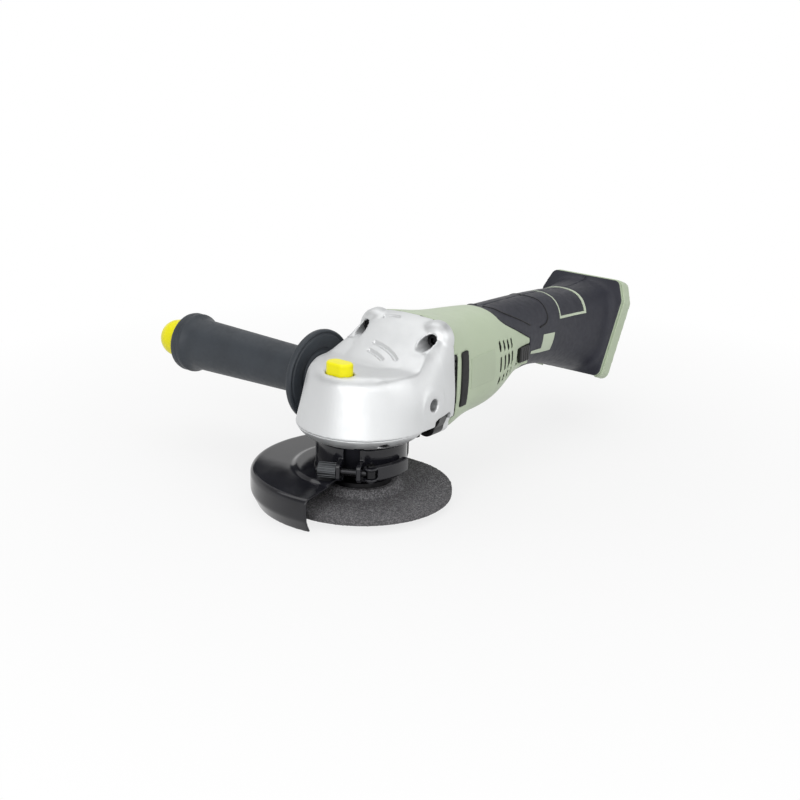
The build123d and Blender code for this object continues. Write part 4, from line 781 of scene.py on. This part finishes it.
class GRINDER_OT_motor_housing(bpy.types.Operator):
    """Rounds the green motor housing, paints shade into its vents and inner walls, and fits its pads, louvres
    and bare panels
    """
    bl_idname = "grinder.motor_housing"
    bl_label = "Motor housing"

    PANEL = ((66.5, 59.5), (96.5, 59.5), (96.5, 81.0), (66.5, 81.0))
    SLATS, SLAT_START, SLAT_PITCH, SLAT_HEIGHT = 9, 46.6, 4.55, 3.7
    SLAT_X, SLAT_Y = (47.2, 50.4), (31.5, 34.4)

    def louvres(self, finish):
        """Black slats in the exhaust slots behind the casting; their black is painted shade, standing in for
        the shadow inside the slots.
        """
        for side, name in ((-1, "left"), (1, "right")):
            slats = []
            front, back = self.SLAT_X
            near, far = sorted(side * wide for wide in self.SLAT_Y)
            for step in range(self.SLATS):
                low = self.SLAT_START + self.SLAT_PITCH * step
                high = low + self.SLAT_HEIGHT
                slats.append(block(f"louvre_{name}_{step}", (front, near, low), (back, far, high)))
            made = join(*slats)
            made.name = f"louvres_{name}"
            shape(made, "BEVEL", width=0.45 * MM, segments=3, limit_method="NONE")
            shade(made, 40)
            add_to(made, finish.material, "motor_housing")

    def execute(self, context):
        colours = context.scene.grinder_colours
        sizes = context.scene.grinder_sizes
        green = plastic_finish("green moulding", colours.housing)
        shell = twin("motor_housing", "motor_shell")
        mould(shell, sizes.plastic_voxel, 3)
        mark_inside_shade(shell)
        # Painted shade: faces turned inwards, in the vents, slots and inner walls, go dark
        share = green.node("ShaderNodeAttribute")
        share.attribute_name = "inside"
        vent_shade = green.spread(share.outputs["Fac"], 0.0, 1.0, 0.25, 0.75)
        green.join(green.mix(vent_shade, green.tint, VENT_SHADE_DARK), green.shader.inputs["Base Color"])
        stand_for(shell, green.material, "motor_housing")
        panel = plastic_finish("panel green", [0.93 * channel for channel in colours.housing], 0.34)
        for side, name in ((-1, "left"), (1, "right")):
            made = plate(f"panel_{name}", self.PANEL, shell, side, 0.22 * MM)
            add_to(made, panel.material, "motor_housing")
        # The slats' black is painted shade for the deep exhaust slots
        self.louvres(plastic_finish("louvre shade black", LOUVRE_SHADE_BLACK, 0.45, 0.1))
        pads = twin("side_pads", "pads")
        mould(pads, sizes.small_voxel, 4)
        stand_for(pads, rubber_finish("pad rubber", SOFT_BLACK).material, "side_pads")
        return {"FINISHED"}


class GRINDER_OT_switch(bpy.types.Operator):
    """Rounds the slide switch"""
    bl_idname = "grinder.switch"
    bl_label = "Slide switch"

    def execute(self, context):
        finish = plastic_finish("black moulding", SOFT_BLACK, 0.38, 0.1)
        knob = twin("switch_knob", "knob")
        mould(knob, context.scene.grinder_sizes.small_voxel * 0.8, 3)
        stand_for(knob, finish.material, "switch_knob")
        put_on_nodes(finish, "switch_rod", "micro_switch", "air_baffle", "bearing_holder", "fan", "controller")
        return {"FINISHED"}


class GRINDER_OT_grip(bpy.types.Operator):
    """Rounds the rear grip and draws its dark lines and pale inlays"""
    bl_idname = "grinder.grip"
    bl_label = "Rear grip"

    LEAN = (0.94, 0.0, -0.34)
    FLANGE = 0.2150
    FLARE_START, FLARE_END = 212.0, 214.3
    BADGE = (
        ((167.2, 60.6), (181.2, 59.8), (184.8, 72.6), (169.2, 74.0)),
        ((154.6, 62.6), (167.6, 60.8), (168.0, 64.0), (154.2, 64.8)),
    )

    LINES = (
        ((123.0, -2.5, 98.6), (127.0, -9.0, 97.5), (128.4, -13.6, 95.7), (133.4, -17.1, 93.1),
         (142.9, -20.5, 88.6), (152.7, -22.5, 83.6)),
        ((174.0, 0.0, 96.9), (175.9, -5.3, 96.6), (179.2, -11.6, 94.5), (178.5, -17.9, 89.7),
         (177.1, -21.7, 83.4), (171.7, -22.9, 79.9), (164.8, -23.1, 79.9)),
    )

    def flare(self, place, normal):
        """Where the grip spreads into the foot, short of the foot's flat edge."""
        depth = self.LEAN[0] * place.x + self.LEAN[2] * place.z
        return place.x > self.FLARE_START and depth < self.FLARE_END and abs(place.y) > 1.5

    def execute(self, context):
        colours = context.scene.grinder_colours
        sizes = context.scene.grinder_sizes
        finish = rubber_finish("grip rubber", colours.grip, 0.5)
        lean = finish.node("ShaderNodeVectorMath", Vector=finish.place)
        lean.operation = "DOT_PRODUCT"
        lean.inputs[1].default_value = self.LEAN
        flange = finish.spread(lean.outputs["Value"], 0.0, 1.0, self.FLANGE, self.FLANGE + 0.0002)
        finish.join(finish.mix(flange, finish.tint, colours.housing), finish.shader.inputs["Base Color"])
        pale = plastic_finish("pale inlay", colours.inlay, 0.45)
        put_on_nodes(pale, "grip_bands")
        badges = []
        for side, name in ((-1, "left"), (1, "right")):
            half = twin(f"grip_{name}", f"shell_{name}")
            filling = twin("grip_inlays", "filling")
            low, high = sorted((0.0, -side * 80.0))
            cut(filling, block("other_side", (100.0, low, 0.0), (240.0, high, 120.0)))
            join(half, filling)
            mould(half, sizes.plastic_voxel * 0.9, 3)
            soften(half, self.flare, 160)
            stand_for(half, finish.material, f"grip_{name}")
            for corners in self.BADGE:
                badges.append(plate(f"badge_{name}_{len(badges)}", corners, half, side, 0.2 * MM))
        badge = join(*badges)
        badge.name = "badges"
        stand_for(badge, pale.material, "grip_inlays")
        line = rubber_finish("line black", LINE_BLACK, 0.5)
        for number, points in enumerate(self.LINES):
            for side, mirror in (("left", 1), ("right", -1)):
                made = tube(f"grip_line_{number}_{side}", [(x, y * mirror, z) for x, y, z in points],
                            sizes.line_radius)
                add_to(made, line.material, "grip_left")
        return {"FINISHED"}


class GRINDER_OT_foot(bpy.types.Operator):
    """Rounds the battery foot and finishes its rails and contacts"""
    bl_idname = "grinder.foot"
    bl_label = "Battery foot"

    def execute(self, context):
        colours = context.scene.grinder_colours
        sizes = context.scene.grinder_sizes
        green = plastic_finish("green foot", colours.housing)
        rim = twin("foot_frame", "foot_rim")
        mould(rim, sizes.plastic_voxel * 0.7, 4)
        stand_for(rim, green.material, "foot_frame")
        black = plastic_finish("foot black", FOOT_BLACK, 0.44, 0.1)
        rails = twin("battery_plate", "rail_plate")
        mould(rails, sizes.plastic_voxel * 0.6, 3)
        stand_for(rails, black.material, "battery_plate")
        put_on_nodes(black, "terminal_block")
        put_on_nodes(steel_finish("contact plate", (0.72, 0.55, 0.22), 0.25), "terminals")
        return {"FINISHED"}


class GRINDER_OT_side_handle(bpy.types.Operator):
    """Turns the side handle and smooths its cap"""
    bl_idname = "grinder.side_handle"
    bl_label = "Side handle"

    PROFILE = (
        (49.0, 6.2), (48.6, 6.8), (48.6, 15.6), (49.6, 16.4), (49.6, 18.2), (48.6, 19.0), (48.5, 26.6),
        (49.3, 27.3), (49.3, 28.1), (48.6, 28.8), (48.9, 29.6), (49.7, 30.1), (51.2, 30.25), (52.7, 29.9),
        (53.4, 28.9), (53.8, 25.5), (54.2, 21.5), (55.0, 18.7), (56.4, 17.0), (58.6, 15.9), (62.0, 15.35),
        (68.0, 15.25), (90.0, 15.75), (115.0, 16.35), (140.0, 16.95), (151.0, 17.2), (154.5, 17.5),
        (157.2, 18.2), (159.2, 19.2), (160.4, 20.0), (161.4, 20.15), (163.0, 20.0), (163.5, 19.7),
        (164.0, 20.0), (166.5, 20.1), (168.4, 19.6), (169.5, 18.4), (169.9, 16.8), (169.9, 13.4),
        (169.2, 13.0), (164.4, 13.0), (164.4, 0.0),
    )

    def execute(self, context):
        colours = context.scene.grinder_colours
        handle = turned_y("handle", (HANDLE_X, 0.0, HANDLE_Z), self.PROFILE)
        bevel(handle, 0.25 * MM, 2, 25)
        shade(handle, 50)
        stand_for(handle, rubber_finish("handle rubber", colours.handle, 0.5).material, "handle_grip")
        cap = twin("handle_cap", "cap")
        mould(cap, context.scene.grinder_sizes.cap_voxel, 5)
        yellow = plastic_finish("cap yellow", colours.accent, 0.32, 0.02).dull(0.25)
        stand_for(cap, yellow.material, "handle_cap")
        put_on_nodes(steel_finish("stud zinc", (0.45, 0.45, 0.44), 0.33), "handle_stud")
        return {"FINISHED"}


class GRINDER_OT_inner_works(bpy.types.Operator):
    """Finishes the motor, gears and bearings inside"""
    bl_idname = "grinder.inner_works"
    bl_label = "Inner works"

    def execute(self, context):
        ground = steel_finish("ground steel", (0.58, 0.58, 0.58), 0.22)
        put_on_nodes(ground, "spindle_bearing_outer", "spindle_bearing_inner", "front_bearing_outer",
                     "front_bearing_inner", "rear_bearing_outer", "rear_bearing_inner", "lock_pin",
                     "gear_key", "gear_clip", "rotor_shaft", "pinion_nut", "rotor_magnets")
        springs = twin("lock_springs", "springs")
        shade(springs, 40)
        stand_for(springs, ground.material, "lock_springs")
        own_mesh(springs)
        put_on_nodes(steel_finish("gear steel", (0.32, 0.32, 0.33), 0.3), "bevel_gear", "pinion")
        put_on_nodes(steel_finish("bronze", (0.50, 0.34, 0.16), 0.4), "spindle_bush")
        sheets = steel_finish("laminations", (0.22, 0.22, 0.23), 0.5, (9000.0, 40.0, 40.0))
        put_on_nodes(sheets, "stator_core", "rotor_core")
        copper = steel_finish("copper wire", (0.55, 0.24, 0.10), 0.35, (60.0, 3000.0, 3000.0))
        put_on_nodes(copper, "stator_coils")
        put_on_nodes(rubber_finish("felt", (0.16, 0.16, 0.15), 0.9), "dust_seal")
        put_on_nodes(plastic_finish("board", (0.02, 0.14, 0.05), 0.4), "sensor_board")
        put_on_nodes(rubber_finish("wire red", (0.35, 0.02, 0.02), 0.5), "motor_leads", "battery_leads")
        return {"FINISHED"}


class GRINDER_OT_stage(bpy.types.Operator):
    """Sets the floor, lamps, sky and camera"""
    bl_idname = "grinder.stage"
    bl_label = "Studio stage"

    LAMPS = (
        ("key", (-1.0, -0.42, 0.60), (0.02, 0.0, 0.05), (1.2, 0.9), 8.0),
        ("side", (0.15, -1.15, 0.75), (0.1, 0.0, 0.06), (1.2, 0.9), 5.2),
        ("top", (0.20, 0.35, 1.25), (0.1, 0.0, 0.05), (1.3, 1.3), 6.8),
    )

    def lamp(self, name, place, target, size, power):
        """A soft rectangular lamp that faces a target, in metres and watts."""
        bpy.ops.object.light_add(type="AREA", location=place)
        lamp = bpy.context.object
        lamp.name = name
        lamp.data.energy = power
        lamp.data.shape = "RECTANGLE"
        lamp.data.size, lamp.data.size_y = size
        lamp.rotation_euler = (Vector(target) - Vector(place)).to_track_quat("-Z", "Y").to_euler()

    def paper(self):
        """Pale floor that runs out to plain white away from the tool."""
        made = Finish("floor paper", (0.62, 0.62, 0.62), 0.9)
        made.mottle(1.5, 0.008).dull(0.0)
        far = made.node("ShaderNodeVectorMath", Vector=made.place)
        far.operation = "LENGTH"
        share = made.spread(far.outputs["Value"], 0.78, 1.0, 0.12, 0.45)
        path = made.tree.nodes.new("ShaderNodeLightPath")
        seen = made.node("ShaderNodeMath")
        seen.operation = "MULTIPLY"
        made.join(share, seen.inputs[0])
        clear = made.node("ShaderNodeMath")
        clear.operation = "MAXIMUM"
        made.join(path.outputs["Is Camera Ray"], clear.inputs[0])
        made.join(path.outputs["Is Glossy Ray"], clear.inputs[1])
        made.join(clear.outputs[0], seen.inputs[1])
        white = made.node("ShaderNodeEmission", Color=(1.0, 1.0, 1.0, 1.0), Strength=1.0)
        blend = made.tree.nodes.new("ShaderNodeMixShader")
        made.join(seen.outputs[0], blend.inputs[0])
        made.join(made.shader.outputs[0], blend.inputs[1])
        made.join(white.outputs[0], blend.inputs[2])
        made.join(blend.outputs[0], made.tree.nodes["Material Output"].inputs["Surface"])
        return made.material

    def sky(self, scene, stage):
        """White for the eye, an even glow for the surfaces, and a darker ceiling in reflections."""
        scene.world = bpy.data.worlds.new("studio")
        scene.world.use_nodes = True
        tree = scene.world.node_tree
        nodes, links = tree.nodes, tree.links
        background = nodes["Background"]
        background.inputs["Color"].default_value = (1.0, 1.0, 1.0, 1.0)
        path = nodes.new("ShaderNodeLightPath")
        height = nodes.new("ShaderNodeSeparateXYZ")
        links.new(nodes.new("ShaderNodeTexCoord").outputs["Generated"], height.inputs[0])
        fade = nodes.new("ShaderNodeMapRange")
        links.new(height.outputs["Z"], fade.inputs["Value"])
        fade.interpolation_type = "SMOOTHSTEP"
        for socket, value in (("From Min", 0.15), ("From Max", 0.75), ("To Min", 1.0),
                              ("To Max", stage.ceiling)):
            fade.inputs[socket].default_value = value
        level = None
        for ray, strength in (("Is Glossy Ray", fade.outputs["Result"]), ("Is Transmission Ray", 1.0),
                              ("Is Camera Ray", 1.0)):
            pick = nodes.new("ShaderNodeMix")
            links.new(path.outputs[ray], pick.inputs["Factor"])
            if level is None:
                pick.inputs["A"].default_value = stage.sky
            else:
                links.new(level, pick.inputs["A"])
            if isinstance(strength, float):
                pick.inputs["B"].default_value = strength
            else:
                links.new(strength, pick.inputs["B"])
            level = pick.outputs["Result"]
        links.new(level, background.inputs["Strength"])

    def camera(self, stage):
        """A camera with the stage's place, direction, roll and lens."""
        bpy.ops.object.camera_add(location=stage.place)
        camera = bpy.context.object
        around, height, roll = stage.azimuth, stage.elevation, stage.roll
        back = Vector((math.sin(around) * math.cos(height), -math.cos(around) * math.cos(height),
                       math.sin(height)))
        right = Vector((math.cos(around), math.sin(around), 0.0))
        up = back.cross(right)
        turned_right = math.cos(roll) * right + math.sin(roll) * up
        turned_up = math.cos(roll) * up - math.sin(roll) * right
        view = Matrix((turned_right, turned_up, back)).transposed().to_4x4()
        view.translation = Vector(stage.place)
        camera.matrix_world = view
        camera.data.lens = stage.lens
        camera.data.sensor_width = 36.0
        camera.data.clip_start = 0.01
        return camera

    def execute(self, context):
        scene = context.scene
        stage = scene.grinder_stage
        scene.view_settings.view_transform = "Standard"
        bpy.ops.object.select_all(action="DESELECT")
        bpy.ops.mesh.primitive_plane_add(size=12.0, location=(0.1, 0.0, CAD_BOX[0][2] - stage.floor_drop))
        floor = context.object
        floor.name = "floor"
        dress(floor, self.paper())
        self.sky(scene, stage)
        for lamp in self.LAMPS:
            self.lamp(*lamp)
        scene.camera = self.camera(stage)
        return {"FINISHED"}


OPERATORS = (
    GRINDER_OT_casting, GRINDER_OT_cover, GRINDER_OT_screws, GRINDER_OT_wheel, GRINDER_OT_guard,
    GRINDER_OT_clamp, GRINDER_OT_button, GRINDER_OT_motor_housing, GRINDER_OT_switch, GRINDER_OT_grip,
    GRINDER_OT_foot, GRINDER_OT_side_handle, GRINDER_OT_inner_works, GRINDER_OT_stage,
)


class GRINDER_PT_panel(bpy.types.Panel):
    """Lists the steps that dress the grinder"""
    bl_idname = "GRINDER_PT_panel"
    bl_label = "Angle grinder"
    bl_space_type = "VIEW_3D"
    bl_region_type = "UI"
    bl_category = "Grinder"

    def draw(self, context):
        for group in ("grinder_colours", "grinder_sizes", "grinder_stage"):
            box = self.layout.box()
            settings = getattr(context.scene, group)
            for name in settings.__annotations__:
                box.prop(settings, name)
        for operator in OPERATORS:
            self.layout.operator(operator.bl_idname)


GROUPS = {"grinder_colours": GrinderColours, "grinder_sizes": GrinderSizes, "grinder_stage": GrinderStage}


def register():
    for name, group in GROUPS.items():
        bpy.utils.register_class(group)
        setattr(bpy.types.Scene, name, PointerProperty(type=group))
    for made in (*OPERATORS, GRINDER_PT_panel):
        bpy.utils.register_class(made)


def unregister():
    for made in reversed((*OPERATORS, GRINDER_PT_panel)):
        bpy.utils.unregister_class(made)
    for name, group in reversed(GROUPS.items()):
        delattr(bpy.types.Scene, name)
        bpy.utils.unregister_class(group)


def main():
    register()
    for operator in OPERATORS:
        group, step = operator.bl_idname.split(".")
        getattr(getattr(bpy.ops, group), step)()


if __name__ == "__main__":
    main()
